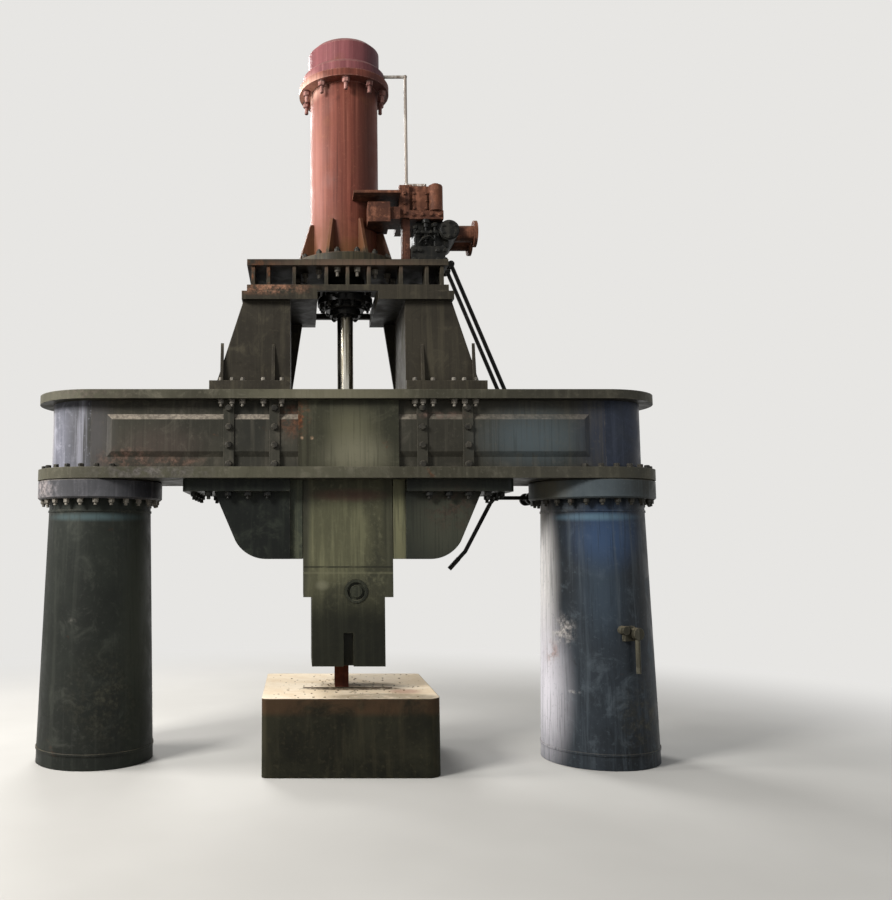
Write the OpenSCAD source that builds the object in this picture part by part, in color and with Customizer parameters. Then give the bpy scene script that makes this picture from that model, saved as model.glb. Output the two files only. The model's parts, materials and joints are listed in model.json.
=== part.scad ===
/* [Columns] */
// Distance between the centres of the two columns
column_pitch = 3944; // [3700:2:4300]
// Outer diameter of a column at the floor
column_base_d = 894; // [860:2:940]
// Outer diameter of a column under its head ring
column_top_d = 792; // [760:2:840]
// Height of the columns from the floor to the head ring
column_h = 2000; // [1900:10:2200]
// Thickness of the column plate
column_wall = 35; // [25:1:60]
// Height of the welded seam rings
seam_h = 16; // [10:1:30]
// How far the seam rings stand out
seam_proud = 6; // [3:1:12]
// Height of a seam ring above the floor
seam_z = 100; // [60:5:200]
// Outer diameter of the head rings
head_d = 974; // [940:2:1010]
// Height of the head rings
head_h = 150; // [100:5:200]

/* [Bridge] */
// Overall depth of the flange plates, front to back
flange_d = 980; // [940:10:1020]
// Thickness of the bottom flange plate
bottom_flange_t = 85; // [60:5:110]
// Thickness of the top flange plate
top_flange_t = 70; // [50:5:100]
// Height of the webs between the flanges
web_h = 520; // [480:10:560]
// Overall depth over the two webs
web_d = 770; // [740:10:800]
// Thickness of the web plates
web_t = 40; // [30:5:50]
// How far the raised panels stand out from the webs
panel_proud = 25; // [10:1:35]
// Width of the bevel round a raised panel
panel_bevel = 42; // [20:1:60]
// Distance between the two joints in a web
splice_pitch = 1480; // [1400:10:1500]
// Width of a joint strip
splice_w = 80; // [60:5:100]
// Distance between the two strips of one joint
splice_gap = 350; // [300:10:360]
// Thickness of a joint strip
splice_t = 10; // [6:1:14]
// Width of the plates that close the ram shaft
cover_w = 770; // [740:10:800]
// Thickness of the plates that close the ram shaft
cover_t = 40; // [26:2:60]
// Thickness of the inner shaft walls
shaft_wall_t = 40; // [30:5:60]

/* [Guides] */
// Thickness of a guide rail, side to side
rail_t = 95; // [80:5:110]
// Running gap between the ram and its rails
guide_gap = 5; // [5:0.5:8]
// Depth of the V-shaped ridges on the rails
ridge_h = 55; // [40:5:70]
// Width of the V-shaped ridges where they start
ridge_w = 170; // [140:5:200]
// How far the guide cheeks hang below the bridge
cheek_h = 610; // [560:10:700]
// Half width of the guide cheeks at the top
cheek_top = 1030; // [980:10:1080]
// Half width of the guide cheeks at the round corners
cheek_mid = 900; // [860:10:940]
// Radius of the lower corners of the guide cheeks
cheek_r = 270; // [200:10:300]
// Depth of the guide cheeks, front to back
cheek_d = 620; // [600:10:660]
// Half width of the cheek flanges
cheek_flange_w = 1270; // [1200:10:1350]
// Thickness of the cheek flanges
cheek_flange_t = 95; // [70:5:120]

/* [Ram] */
// Width of the guided part of the ram
ram_w = 690; // [640:10:740]
// Width of the lower part of the ram
ram_nose_w = 560; // [500:10:600]
// Depth of the ram, front to back
ram_d = 560; // [520:10:600]
// Length of the lower part of the ram
ram_nose_h = 520; // [460:10:600]
// Length of the guided part of the ram
ram_body_h = 1050; // [950:10:1100]
// Travel of the ram above its prop
ram_stroke = 1050; // [900:10:1100]
// Diameter of the lifting hole plug on the ram
plug_d = 180; // [140:5:220]
// Sideways offset of the plug from the middle of the ram
plug_x = 60; // [0:5:100]
// Width of the key slot in the ram's nose
key_w = 76; // [50:2:100]
// Height of the key slot in the ram's nose
key_h = 250; // [180:10:320]
// Depth of the key slot in the ram's nose
key_d = 60; // [30:5:100]

/* [Anvil] */
// Width of the anvil block
anvil_w = 1290; // [1200:10:1400]
// Depth of the anvil block
anvil_d = 1280; // [1200:10:1400]
// Height of the anvil block above the floor
anvil_h = 550; // [450:10:650]
// Radius of three of the anvil's upright corners
anvil_r = 40; // [20:5:80]
// Radius of the worn front right corner of the anvil
anvil_worn_r = 110; // [60:5:160]
// Width of the square prop post
prop_w = 106; // [80:2:140]
// Height of the prop post
prop_h = 180; // [120:5:260]
// Sideways place of the prop post
prop_x = -45; // [-100:5:100]
// Front to back place of the prop post
prop_y = -45; // [-50:5:100]

/* [Pedestal] */
// Half width of the pedestal over its feet
foot_half_w = 1065; // [1000:5:1100]
// Depth of the feet
foot_d = 900; // [860:10:960]
// Thickness of the feet
foot_t = 75; // [50:5:90]
// Height from the bridge to the top of the upper plate
pedestal_h = 1025; // [980:5:1100]
// Half width of the legs at their feet
leg_base = 1010; // [960:5:1040]
// Half width of the legs under their head plates
leg_top = 810; // [760:5:840]
// Half width of the window between the legs
window_half = 445; // [420:5:470]
// Half width of the rear window at its top
rear_window_top = 350; // [320:5:380]
// Depth over the legs
leg_d = 800; // [760:10:840]
// Plate thickness of the legs
leg_t = 35; // [25:1:45]
// Thickness of the head plates on the legs
head_plate_t = 65; // [40:5:90]
// Half width over the two head plates
head_plate_out = 820; // [790:5:850]
// Half width of the opening between the head plates
head_plate_in = 235; // [230:5:300]
// Half width of the two table plates
table_half_w = 780; // [740:5:820]
// Thickness of the two table plates
table_t = 48; // [35:1:60]
// Height of the ribs between the table plates
table_gap = 154; // [120:2:200]
// Depth of the table plates
table_d = 920; // [880:10:960]
// Distance from the middle rib to the inner pair of ribs
rib_inner = 165; // [120:5:200]
// Distance from the middle rib to the next pair of ribs
rib_next = 415; // [340:5:460]
// Distance from the middle rib to the outer pair of ribs
rib_outer = 615; // [560:5:680]
// Thickness of the ribs
rib_t = 26; // [18:1:36]

/* [Cylinder] */
// Outer diameter of the cylinder
cylinder_d = 560; // [540:5:620]
// Bore of the cylinder
bore_d = 470; // [430:5:490]
// Room between the piston and the cap at the top of the travel
top_room = 225; // [150:5:260]
// Room between the piston and the cylinder's floor at rest
piston_floor = 60; // [30:5:90]
// Diameter of the foot flange
foot_flange_d = 860; // [820:5:900]
// Thickness of the foot flange
foot_flange_t = 75; // [60:5:100]
// Number of gussets round the foot
gusset_count = 8; // [6:2:12]
// Height of the gussets
gusset_h = 320; // [200:10:360]
// Thickness of the flange at the top of the cylinder
cylinder_flange_t = 60; // [45:5:80]
// Diameter of the flange at the top of the cylinder
cylinder_flange_d = 750; // [720:5:800]
// Diameter of the cap's flange
cap_flange_d = 690; // [650:5:720]
// Height of the cap flange
cap_flange_h = 110; // [80:5:140]
// Diameter of the upper part of the cap
cap_d = 590; // [560:5:640]
// Height of the upper part of the cap
cap_h = 210; // [150:5:240]
// Bevel round the top of the cap
cap_bevel = 40; // [20:5:60]
// Diameter of the piston rod
rod_d = 130; // [100:2:140]
// Height of the piston
piston_h = 200; // [150:10:220]
// Gap round the piston
piston_gap = 1; // [0.6:0.1:2]
// Gap round the piston rod
rod_gap = 0.5; // [0.4:0.1:1]

/* [Steam side] */
// Left face of the steam chest
chest_x = 420; // [400:5:450]
// Width of the steam chest
chest_w = 350; // [320:10:380]
// Front to back size of the steam chest
chest_d = 440; // [400:10:480]
// Height of the steam chest
chest_h = 280; // [250:10:320]
// Underside of the steam chest above the table
chest_z = 370; // [350:5:400]
// Thickness of the flange at the left end of the chest
chest_flange_t = 80; // [60:5:100]
// Height of the ledge round the foot of the chest
chest_ledge_h = 70; // [50:5:90]
// Left end of the port block
port_x = 165; // [150:5:190]
// Width of the port block
port_w = 175; // [150:5:200]
// Height of the port block
port_h = 160; // [130:5:200]
// Underside of the port block above the table
port_z = 325; // [300:5:350]
// Left end of the shelf over the port block
shelf_x = 50; // [40:5:80]
// Top of the shelf above the table
shelf_z = 560; // [530:5:590]
// Thickness of the shelf
shelf_t = 22; // [16:1:30]
// Outer diameter of the two steam pipe stubs
stub_d = 130; // [100:5:150]
// Bore of the steam pipe stubs
stub_bore = 100; // [80:2:110]
// Diameter of the stub flanges
stub_flange_d = 210; // [200:5:230]
// Bolt circle of the stub flanges
stub_pcd = 170; // [165:1:180]
// Diameter of the bolt holes in the stub flanges
stub_hole_d = 18; // [14:1:22]
// Number of bolt holes in each stub flange
stub_holes = 6; // [4:1:8]

/* [Valve gear] */
// Diameter of the valve shaft
shaft_d = 60; // [50:2:70]
// Diameter of the hand lever's cross shaft
lever_shaft_d = 50; // [44:2:56]
// Length of the arms, between shaft and rod pins
arm_len = 160; // [130:5:190]
// Thickness of the arms
arm_t = 26; // [20:1:32]
// Diameter of the rod pins
pin_d = 30; // [24:1:36]
// Running gap round pins and shafts
pin_gap = 0.3; // [0.3:0.05:0.6]
// Diameter of the control rods
control_rod_d = 36; // [28:1:42]
// Place of the front control rod behind the ram's middle plane
rod_front_y = 600; // [580:5:640]
// Distance from the front control rod to the rear one
rod_spread = 210; // [180:10:240]
// Sideways place of the valve shaft
shaft_x = 815; // [790:5:840]
// Height of the valve shaft above the table
shaft_z = 285; // [265:5:320]
// Distance from the middle of the right column to the hand lever's pivot
lever_inset = 325; // [320:5:345]
// Height of the hand lever's pivot below the bridge
lever_drop = 100; // [90:5:150]
// Width of the bent hand lever
lever_w = 32; // [24:1:36]
// Thickness of the bent hand lever
lever_t = 22; // [16:1:28]
// Outer diameter of the housing that the valve shaft turns in
housing_d = 164; // [150:2:168]

/* [Hidden] */
$fn = 96;

// Heights, from the floor up
column_x = column_pitch / 2;
lever_x = column_x - lever_inset;
bridge_z = column_h + head_h;
web_z = bridge_z + bottom_flange_t;
top_flange_z = web_z + web_h;
bridge_top = top_flange_z + top_flange_t;
leg_z = bridge_top + foot_t;
table_top = bridge_top + pedestal_h;
upper_plate_z = table_top - table_t;
lower_plate_z = upper_plate_z - table_gap - table_t;
head_plate_z = lower_plate_z - head_plate_t;
foot_flange_z = table_top;
cylinder_z = foot_flange_z + foot_flange_t;
cylinder_h = piston_floor + piston_h + ram_stroke + top_room;
cap_flange_z = cylinder_z + cylinder_h;
cap_z = cap_flange_z + cap_flange_h;
cheek_z = bridge_z - cheek_h;
ram_z = anvil_h + prop_h;
ram_step_z = ram_z + ram_nose_h;
ram_top = ram_step_z + ram_body_h;

// The plug in the front of the ram
plug_z = ram_step_z + 45;
plug_deep = 30;

// The shaft that the ram rises through
rail_in = ram_w / 2 + guide_gap;
rail_out = rail_in + rail_t;
shaft_clear = 30;
shaft_depth = ram_d + 2 * shaft_clear;

// Gap where a piece is cut to fit round another piece's curve
curve_gap = 0.3;

// The gland under the table and the piston over it
gland_r = 225;
gland_low_r = 165;
gland_flange_t = 50;
gland_low_h = 45;
follower_r = 125;
follower_h = 45;
rod_socket = 260;
piston_z = cylinder_z + piston_floor;
stub_x = shaft_x + 45;
stub_in = 110;
port_front_y = -400;
port_d = 300;

// The valve gear
shaft_height = table_top + shaft_z;
lever_height = bridge_z - lever_drop;
rod_rear_y = rod_front_y + rod_spread;
chest_bottom = table_top + chest_z;
chest_top = chest_bottom + chest_h;
chest_y = -330;
chest_waist = 30;
bracket_y = 410;
bracket_t = 70;
rod_side_gap = 2;

// A flat shape of half-round ends on a straight middle
module stadium(half_len, r) {
    square([2 * half_len, 2 * r], center = true);
    for (side = [-1, 1])
        translate([side * half_len, 0]) circle(r);
}

// A plain box from its lowest corner to its highest
module block(low, high) {
    translate(low) cube(high - low);
}

// What a rounded corner of radius r takes off a square corner at the origin
module corner_cut(r) {
    difference() {
        translate([-r, -r]) square(r + 1);
        translate([-r, -r]) circle(r);
    }
}

// Room for the steam cylinder in the pieces that fit round it
module cylinder_room() {
    translate([0, 0, cylinder_z]) cylinder(h = cylinder_h, d = cylinder_d + 2 * curve_gap);
}

module column(x) {
    seam_top = column_h - seam_z;
    base_r = column_base_d / 2;
    top_r = column_top_d / 2;
    function radius_at(z) = base_r + (top_r - base_r) * z / column_h;
    translate([x, 0, 0])
        rotate_extrude()
            polygon([
                [base_r - column_wall, 0], [base_r, 0],
                [radius_at(seam_z), seam_z],
                [radius_at(seam_z) + seam_proud, seam_z],
                [radius_at(seam_z) + seam_proud, seam_z + seam_h],
                [radius_at(seam_z + seam_h), seam_z + seam_h],
                [radius_at(seam_top), seam_top],
                [radius_at(seam_top) + seam_proud, seam_top],
                [radius_at(seam_top) + seam_proud, seam_top + seam_h],
                [radius_at(seam_top + seam_h), seam_top + seam_h],
                [top_r, column_h], [top_r - column_wall, column_h]
            ]);
}

module column_left() {
    color([0.16, 0.18, 0.16]) column(-column_x);
}

module column_right() {
    color([0.18, 0.21, 0.25]) column(column_x);
}

module column_head(x) {
    chamfer = 12;
    inner_r = column_top_d / 2 - 2 * column_wall;
    translate([x, 0, column_h])
        rotate_extrude()
            polygon([
                [inner_r, 0], [head_d / 2 - chamfer, 0], [head_d / 2, chamfer],
                [head_d / 2, head_h - chamfer], [head_d / 2 - chamfer, head_h], [inner_r, head_h]
            ]);
}

module column_head_left() {
    color([0.15, 0.16, 0.15]) column_head(-column_x);
}

module column_head_right() {
    color([0.16, 0.18, 0.21]) column_head(column_x);
}

// Hook plate on the front of the right column, with the handle that hangs from it
module column_cleat() {
    turn = -69.5;
    hook_z = 990;
    plate_t = 25;
    plate_h = 110;
    boss_d = 90;
    boss_out = 75;
    small_boss_d = 64;
    small_boss_out = 45;
    small_boss_y = -90;
    small_boss_z = 25;
    handle_d = 36;
    handle_l = 290;
    root = 40;
    near_r = column_base_d / 2 + (column_top_d - column_base_d) / 2 * hook_z / column_h;
    color([0.18, 0.19, 0.21])
        difference() {
            translate([column_x, 0, hook_z])
                rotate([0, 0, turn])
                    translate([near_r - root, 0, 0]) {
                        block([0, small_boss_y, -plate_h / 2], [root + plate_t, 0, plate_h / 2]);
                        rotate([0, 90, 0]) cylinder(h = root + boss_out, d = boss_d);
                        translate([0, small_boss_y, small_boss_z])
                            rotate([0, 90, 0]) cylinder(h = root + small_boss_out, d = small_boss_d);
                        translate([root + boss_out - handle_d / 2 - 4, 0, -handle_l])
                            cylinder(h = handle_l, d = handle_d);
                    }
            translate([column_x, 0, 0])
                cylinder(h = column_h, r1 = column_base_d / 2 + curve_gap, r2 = column_top_d / 2 + curve_gap);
        }
}

module bridge_plate(z, t) {
    translate([0, 0, z])
        linear_extrude(t)
            difference() {
                stadium(column_x, flange_d / 2);
                square([2 * rail_out, shaft_depth], center = true);
            }
}

module bridge_bottom_flange() {
    color([0.25, 0.25, 0.21]) bridge_plate(bridge_z, bottom_flange_t);
}

module bridge_top_flange() {
    color([0.25, 0.25, 0.22]) bridge_plate(top_flange_z, top_flange_t);
}

// Raised panel on the right half of a web: an upright profile crossed with a level one,
// which leaves a bevel along its top, its bottom and its outer end
module raised_panel() {
    low = web_z + 82;
    high = top_flange_z - 108;
    inner_x = cover_w / 2;
    outer_x = column_x - 120;
    root_y = -web_d / 2 + 1;
    base_y = -web_d / 2;
    face_y = base_y - panel_proud;
    intersection() {
        translate([inner_x, 0, 0])
            rotate([90, 0, 90])
                linear_extrude(outer_x - inner_x)
                    polygon([
                        [root_y, low], [root_y, high], [base_y, high], [face_y, high - panel_bevel],
                        [face_y, low + panel_bevel], [base_y, low]
                    ]);
        translate([0, 0, low])
            linear_extrude(high - low)
                polygon([
                    [inner_x, root_y], [inner_x, face_y], [outer_x - panel_bevel, face_y],
                    [outer_x, base_y], [outer_x, root_y]
                ]);
    }
}

// Web plate with its two raised panels, its outer face towards -Y
module web() {
    block([-column_x, -web_d / 2, web_z], [column_x, -web_d / 2 + web_t, top_flange_z]);
    for (side = [-1, 1])
        scale([side, 1, 1]) raised_panel();
}

module bridge_web_front() {
    color([0.24, 0.24, 0.20]) web();
}

module bridge_web_rear() {
    color([0.24, 0.24, 0.20]) mirror([0, 1, 0]) web();
}

module bridge_end() {
    translate([column_x, 0, web_z])
        linear_extrude(web_h)
            intersection() {
                difference() {
                    circle(web_d / 2);
                    circle(web_d / 2 - web_t);
                }
                translate([0, -web_d]) square([web_d, 2 * web_d]);
            }
}

module bridge_end_left() {
    color([0.28, 0.29, 0.30]) mirror([1, 0, 0]) bridge_end();
}

module bridge_end_right() {
    color([0.24, 0.26, 0.30]) bridge_end();
}

// Bolted strips over the joints of a web, cut to fit over its raised panels
module splices() {
    strip_d = panel_proud + splice_t;
    for (side = [-1, 1])
        scale([side, 1, 1])
            difference() {
                for (edge = [-1, 1])
                    translate([splice_pitch / 2 + edge * splice_gap / 2 - splice_w / 2,
                               -web_d / 2 - strip_d, web_z])
                        cube([splice_w, strip_d, web_h]);
                raised_panel();
            }
}

module web_splices_front() {
    color([0.20, 0.21, 0.18]) splices();
}

module web_splices_rear() {
    color([0.20, 0.21, 0.18]) mirror([0, 1, 0]) splices();
}

module shaft_cover() {
    block([-cover_w / 2, -web_d / 2 - cover_t, web_z], [cover_w / 2, -web_d / 2, top_flange_z]);
}

module shaft_cover_front() {
    color([0.29, 0.30, 0.24]) shaft_cover();
}

module shaft_cover_rear() {
    color([0.27, 0.28, 0.24]) mirror([0, 1, 0]) shaft_cover();
}

module shaft_wall() {
    half = web_d / 2 - web_t;
    block([rail_out, -half, web_z], [rail_out + shaft_wall_t, half, top_flange_z]);
}

module shaft_wall_left() {
    color([0.20, 0.20, 0.18]) mirror([1, 0, 0]) shaft_wall();
}

module shaft_wall_right() {
    color([0.20, 0.20, 0.18]) shaft_wall();
}

// Guide casting under the bridge, with its round lower corner and its own flange
module guide_cheek() {
    corner_x = cheek_mid - cheek_r;
    corner_z = cheek_z + cheek_r;
    lean = atan2(cheek_top - cheek_mid, bridge_z - cheek_flange_t - corner_z);
    translate([0, cheek_d / 2, 0])
        rotate([90, 0, 0])
            linear_extrude(cheek_d)
                polygon(concat(
                    [[rail_out, cheek_z]],
                    [for (a = [-90:6:-lean]) [corner_x + cheek_r * cos(a), corner_z + cheek_r * sin(a)]],
                    [[cheek_top, bridge_z - cheek_flange_t], [cheek_top, bridge_z], [rail_out, bridge_z]]
                ));
}

module cheek_flange() {
    nose = 60;
    flange_margin = 80;
    half_d = cheek_d / 2 + flange_margin;
    translate([0, 0, bridge_z - cheek_flange_t])
        linear_extrude(cheek_flange_t)
            difference() {
                translate([rail_out, -half_d]) square([cheek_flange_w - rail_out, 2 * half_d]);
                for (side = [-1, 1])
                    translate([cheek_flange_w, side * half_d]) scale([1, side]) corner_cut(nose);
            }
}

module cheek() {
    guide_cheek();
    cheek_flange();
}

module guide_cheek_left() {
    color([0.13, 0.15, 0.12]) mirror([1, 0, 0]) cheek();
}

module guide_cheek_right() {
    color([0.14, 0.15, 0.13]) cheek();
}

// Guide rail with a V-shaped ridge that runs in the ram's groove
module rail() {
    translate([0, 0, cheek_z])
        linear_extrude(bridge_top - cheek_z)
            polygon([
                [rail_out, -ram_d / 2], [rail_out, ram_d / 2], [rail_in, ram_d / 2],
                [rail_in, ridge_w / 2], [rail_in - ridge_h, 0], [rail_in, -ridge_w / 2],
                [rail_in, -ram_d / 2]
            ]);
}

module guide_rail_left() {
    color([0.30, 0.33, 0.24]) mirror([1, 0, 0]) rail();
}

module guide_rail_right() {
    color([0.30, 0.33, 0.24]) rail();
}

// Ram with V grooves in its sides, a narrower nose and a key slot
module ram() {
    groove_d = ridge_h;
    groove_w = ridge_w + 2 * guide_gap;
    groove_deep = groove_d + guide_gap;
    // How far the groove's cutter starts outside the ram's side, and how much wider it is there
    edge = 10;
    edge_y = edge * groove_w / 2 / groove_deep;
    color([0.22, 0.24, 0.18])
        difference() {
            union() {
                translate([0, 0, ram_step_z])
                    linear_extrude(ram_body_h)
                        difference() {
                            square([ram_w, ram_d], center = true);
                            for (side = [-1, 1])
                                scale([side, 1])
                                    polygon([
                                        [ram_w / 2 + edge, -groove_w / 2 - edge_y],
                                        [ram_w / 2 + edge, groove_w / 2 + edge_y],
                                        [ram_w / 2 - groove_deep, 0]
                                    ]);
                        }
                block([-ram_nose_w / 2, -ram_d / 2, ram_z], [ram_nose_w / 2, ram_d / 2, ram_step_z]);
            }
            translate([-key_w / 2, -ram_d / 2 - 1, ram_z - 1]) cube([key_w, key_d + 1, key_h + 1]);
            translate([0, 0, ram_top - rod_socket]) cylinder(h = rod_socket + 1, d = rod_d);
            translate([plug_x, -ram_d / 2 - 1, plug_z])
                rotate([-90, 0, 0]) cylinder(h = plug_deep + 1, d = plug_d);
        }
}

// Round plug in the lifting hole on the front of the ram
module ram_plug() {
    ring_t = 22;
    proud = 6;
    groove_deep = 18;
    color([0.14, 0.15, 0.12])
        translate([plug_x, -ram_d / 2 - proud, plug_z])
            rotate([-90, 0, 0])
                difference() {
                    cylinder(h = plug_deep + proud, d = plug_d - 2);
                    difference() {
                        translate([0, 0, -1]) cylinder(h = groove_deep + 1, d = plug_d - 2 * ring_t);
                        translate([0, 0, -2]) cylinder(h = groove_deep + 3, d = plug_d - 4 * ring_t);
                    }
                }
}

module piston_rod() {
    color([0.75, 0.75, 0.72])
        translate([0, 0, ram_top - rod_socket])
            cylinder(h = piston_z - ram_top + rod_socket, d = rod_d);
}

module piston() {
    ring_count = 3;
    ring_h = 12;
    pitch = piston_h / (ring_count + 1);
    color([0.45, 0.44, 0.42])
        translate([0, 0, piston_z])
            difference() {
                cylinder(h = piston_h, d = bore_d - 2 * piston_gap);
                for (i = [1:ring_count])
                    translate([0, 0, i * pitch - ring_h / 2])
                        difference() {
                            cylinder(h = ring_h, d = bore_d);
                            translate([0, 0, -1]) cylinder(h = ring_h + 2, d = bore_d - 20);
                        }
            }
}

module anvil() {
    slot_y = -105;
    slot_w = 45;
    slot_deep = 30;
    color([0.26, 0.25, 0.20])
        difference() {
            linear_extrude(anvil_h)
                difference() {
                    square([anvil_w, anvil_d], center = true);
                    for (x = [-1, 1])
                        for (y = [-1, 1])
                            translate([x * anvil_w / 2, y * anvil_d / 2])
                                scale([x, y]) corner_cut(x > 0 && y < 0 ? anvil_worn_r : anvil_r);
                }
            translate([-ram_w / 2, slot_y - slot_w, anvil_h - slot_deep])
                cube([ram_w, slot_w, slot_deep + 1]);
        }
}

module ram_prop() {
    color([0.30, 0.13, 0.09])
        translate([prop_x - prop_w / 2, prop_y - prop_w / 2, anvil_h])
            cube([prop_w, prop_w, prop_h]);
}

module foot(side) {
    scale([side, 1, 1])
        block([window_half, -foot_d / 2, bridge_top], [foot_half_w, foot_d / 2, leg_z]);
}

module pedestal_feet() {
    stiffener_h = 300;
    stiffener_t = 24;
    from_window = 130;
    from_side = 40;
    color([0.24, 0.24, 0.20]) {
        foot(-1);
        foot(1);
        for (side = [-1, 1])
            for (face = [-1, 1])
                for (x = [window_half + from_window, leg_base - from_side])
                    scale([side, face, 1])
                        translate([x - stiffener_t / 2, leg_d / 2, leg_z])
                            rotate([90, 0, 90])
                                linear_extrude(stiffener_t)
                                    polygon([[0, 0], [(foot_d - leg_d) / 2, 0], [0, stiffener_h]]);
    }
}

// One welded leg: front, rear, inner and leaning outer plates, with a thick head plate on top
module leg() {
    leg_h = head_plate_z - leg_z;
    profile = [
        [window_half, leg_z], [leg_base, leg_z], [leg_top, head_plate_z], [window_half, head_plate_z]
    ];
    rear_in = [[rear_window_top, head_plate_z], [window_half, leg_z]];
    lean = (leg_base - leg_top) / leg_h;
    side_t = leg_t * sqrt(1 + lean * lean);
    module upright(points, y) {
        translate([0, y + leg_t, 0])
            rotate([90, 0, 0])
                linear_extrude(leg_t) polygon(points);
    }
    upright(profile, -leg_d / 2);
    upright(concat(rear_in, [[leg_base, leg_z], [leg_top, head_plate_z]]), leg_d / 2 - leg_t);
    block([window_half, -leg_d / 2 + 1, leg_z], [window_half + leg_t, leg_d / 2 - 1, head_plate_z]);
    translate([0, leg_d / 2 - 1, 0])
        rotate([90, 0, 0])
            linear_extrude(leg_d - 2)
                polygon([[leg_base, leg_z], [leg_top, head_plate_z],
                         [leg_top - side_t, head_plate_z], [leg_base - side_t, leg_z]]);
    block([head_plate_in, -table_d / 2, head_plate_z - 1], [head_plate_out, table_d / 2, lower_plate_z]);
}

module pedestal_leg_left() {
    color([0.22, 0.22, 0.18]) mirror([1, 0, 0]) leg();
}

module pedestal_leg_right() {
    color([0.22, 0.22, 0.18]) leg();
}

module table_plate(z) {
    block([-table_half_w, -table_d / 2, z], [table_half_w, table_d / 2, z + table_t]);
}

// Lower table plate, open in the middle where the gland hangs through it
module pedestal_lower_plate() {
    rim = 40;
    half_d = table_d / 2 - rim;
    color([0.27, 0.23, 0.18])
        difference() {
            table_plate(lower_plate_z);
            block([-head_plate_in, -half_d, lower_plate_z - 1],
                  [head_plate_in, half_d, lower_plate_z + table_t + 1]);
        }
}

module pedestal_upper_plate() {
    color([0.27, 0.24, 0.19])
        difference() {
            table_plate(upper_plate_z);
            translate([0, 0, upper_plate_z - 1]) cylinder(h = table_t + 2, r = gland_low_r);
        }
}

// Upright ribs between the two table plates, and the closing plates at the ends
module pedestal_ribs() {
    z = lower_plate_z + table_t;
    rib_d = 180;
    set_back = 20;
    end_plate_in = 60;
    front_y = -table_d / 2 + set_back;
    color([0.23, 0.22, 0.18]) {
        for (face = [-1, 1])
            for (x = [-rib_outer, -rib_next, -rib_inner, 0, rib_inner, rib_next, rib_outer])
                scale([1, face, 1])
                    translate([x - rib_t / 2, front_y, z]) cube([rib_t, rib_d, table_gap]);
        for (side = [-1, 1])
            scale([side, 1, 1])
                translate([table_half_w - end_plate_in, front_y, z])
                    cube([rib_t, table_d - 2 * set_back, table_gap]);
    }
}

// Stuffing box that hangs from the upper table plate into the opening of the lower one
module gland_housing() {
    neck_r = gland_low_r - 3;
    chamfer = 12;
    flange_top = gland_low_h + gland_flange_t;
    top = gland_low_h + table_top - lower_plate_z;
    color([0.07, 0.07, 0.07])
        translate([0, 0, lower_plate_z - gland_low_h])
            difference() {
                rotate_extrude()
                    polygon([
                        [0, 0], [gland_low_r - chamfer, 0], [gland_low_r, chamfer],
                        [gland_low_r, gland_low_h], [gland_r, gland_low_h],
                        [gland_r, flange_top], [neck_r, flange_top], [neck_r, top], [0, top]
                    ]);
                translate([0, 0, -1]) cylinder(h = top + 2, r = rod_d / 2 + rod_gap);
            }
}

// Follower that closes the gland, with its sleeve round the rod and the studs that hold it
module gland_follower() {
    stud_count = 6;
    stud_r = 100;
    stud_d = 22;
    stud_l = 30;
    sleeve_wall = 14;
    sleeve_l = 20;
    color([0.08, 0.08, 0.08])
        translate([0, 0, lower_plate_z - gland_low_h - follower_h])
            difference() {
                union() {
                    cylinder(h = follower_h, r = follower_r);
                    translate([0, 0, -sleeve_l])
                        cylinder(h = sleeve_l + 1, r = rod_d / 2 + sleeve_wall);
                    for (i = [0:stud_count - 1])
                        rotate([0, 0, 360 / stud_count * (i + 0.5)])
                            translate([stud_r, 0, -stud_l]) cylinder(h = stud_l + 1, d = stud_d);
                }
                translate([0, 0, -sleeve_l - 1])
                    cylinder(h = follower_h + sleeve_l + 2, r = rod_d / 2 + rod_gap);
            }
}

// Foot flange of the cylinder with its gussets, cut away where the port block comes down
module cylinder_foot() {
    gusset_t = 26;
    gusset_top = 50;
    root = 20;
    port_gap = 5;
    port_low = [port_x, port_front_y, table_top + port_z];
    color([0.24, 0.21, 0.17])
        difference() {
            union() {
                translate([0, 0, foot_flange_z]) cylinder(h = foot_flange_t, d = foot_flange_d);
                for (i = [0:gusset_count - 1])
                    rotate([0, 0, 360 / gusset_count * (i + 0.5)])
                        translate([cylinder_d / 2 - root, gusset_t / 2, cylinder_z - 1])
                            rotate([90, 0, 0])
                                linear_extrude(gusset_t)
                                    polygon([[0, 0], [(foot_flange_d - cylinder_d) / 2, 0],
                                             [gusset_top, gusset_h], [0, gusset_h]]);
            }
            translate([0, 0, foot_flange_z - 1])
                cylinder(h = foot_flange_t + 1, r = rod_d / 2 + rod_gap);
            cylinder_room();
            block(port_low - port_gap * [1, 1, 1],
                  port_low + [port_w, port_d, port_h] + port_gap * [1, 1, 1]);
        }
}

module cylinder_body() {
    color([0.55, 0.31, 0.27])
        translate([0, 0, cylinder_z])
            difference() {
                union() {
                    cylinder(h = cylinder_h, d = cylinder_d);
                    translate([0, 0, cylinder_h - cylinder_flange_t])
                        cylinder(h = cylinder_flange_t, d = cylinder_flange_d);
                }
                translate([0, 0, -1]) cylinder(h = cylinder_h + 2, d = bore_d);
            }
}

// Flange of the cap, which stands on the flange of the cylinder
module cap_flange() {
    bevel = 32;
    color([0.56, 0.32, 0.28])
        translate([0, 0, cap_flange_z])
            rotate_extrude()
                polygon([
                    [0, 0], [cap_flange_d / 2, 0], [cap_flange_d / 2, cap_flange_h - bevel],
                    [cap_flange_d / 2 - bevel, cap_flange_h], [0, cap_flange_h]
                ]);
}

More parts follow.
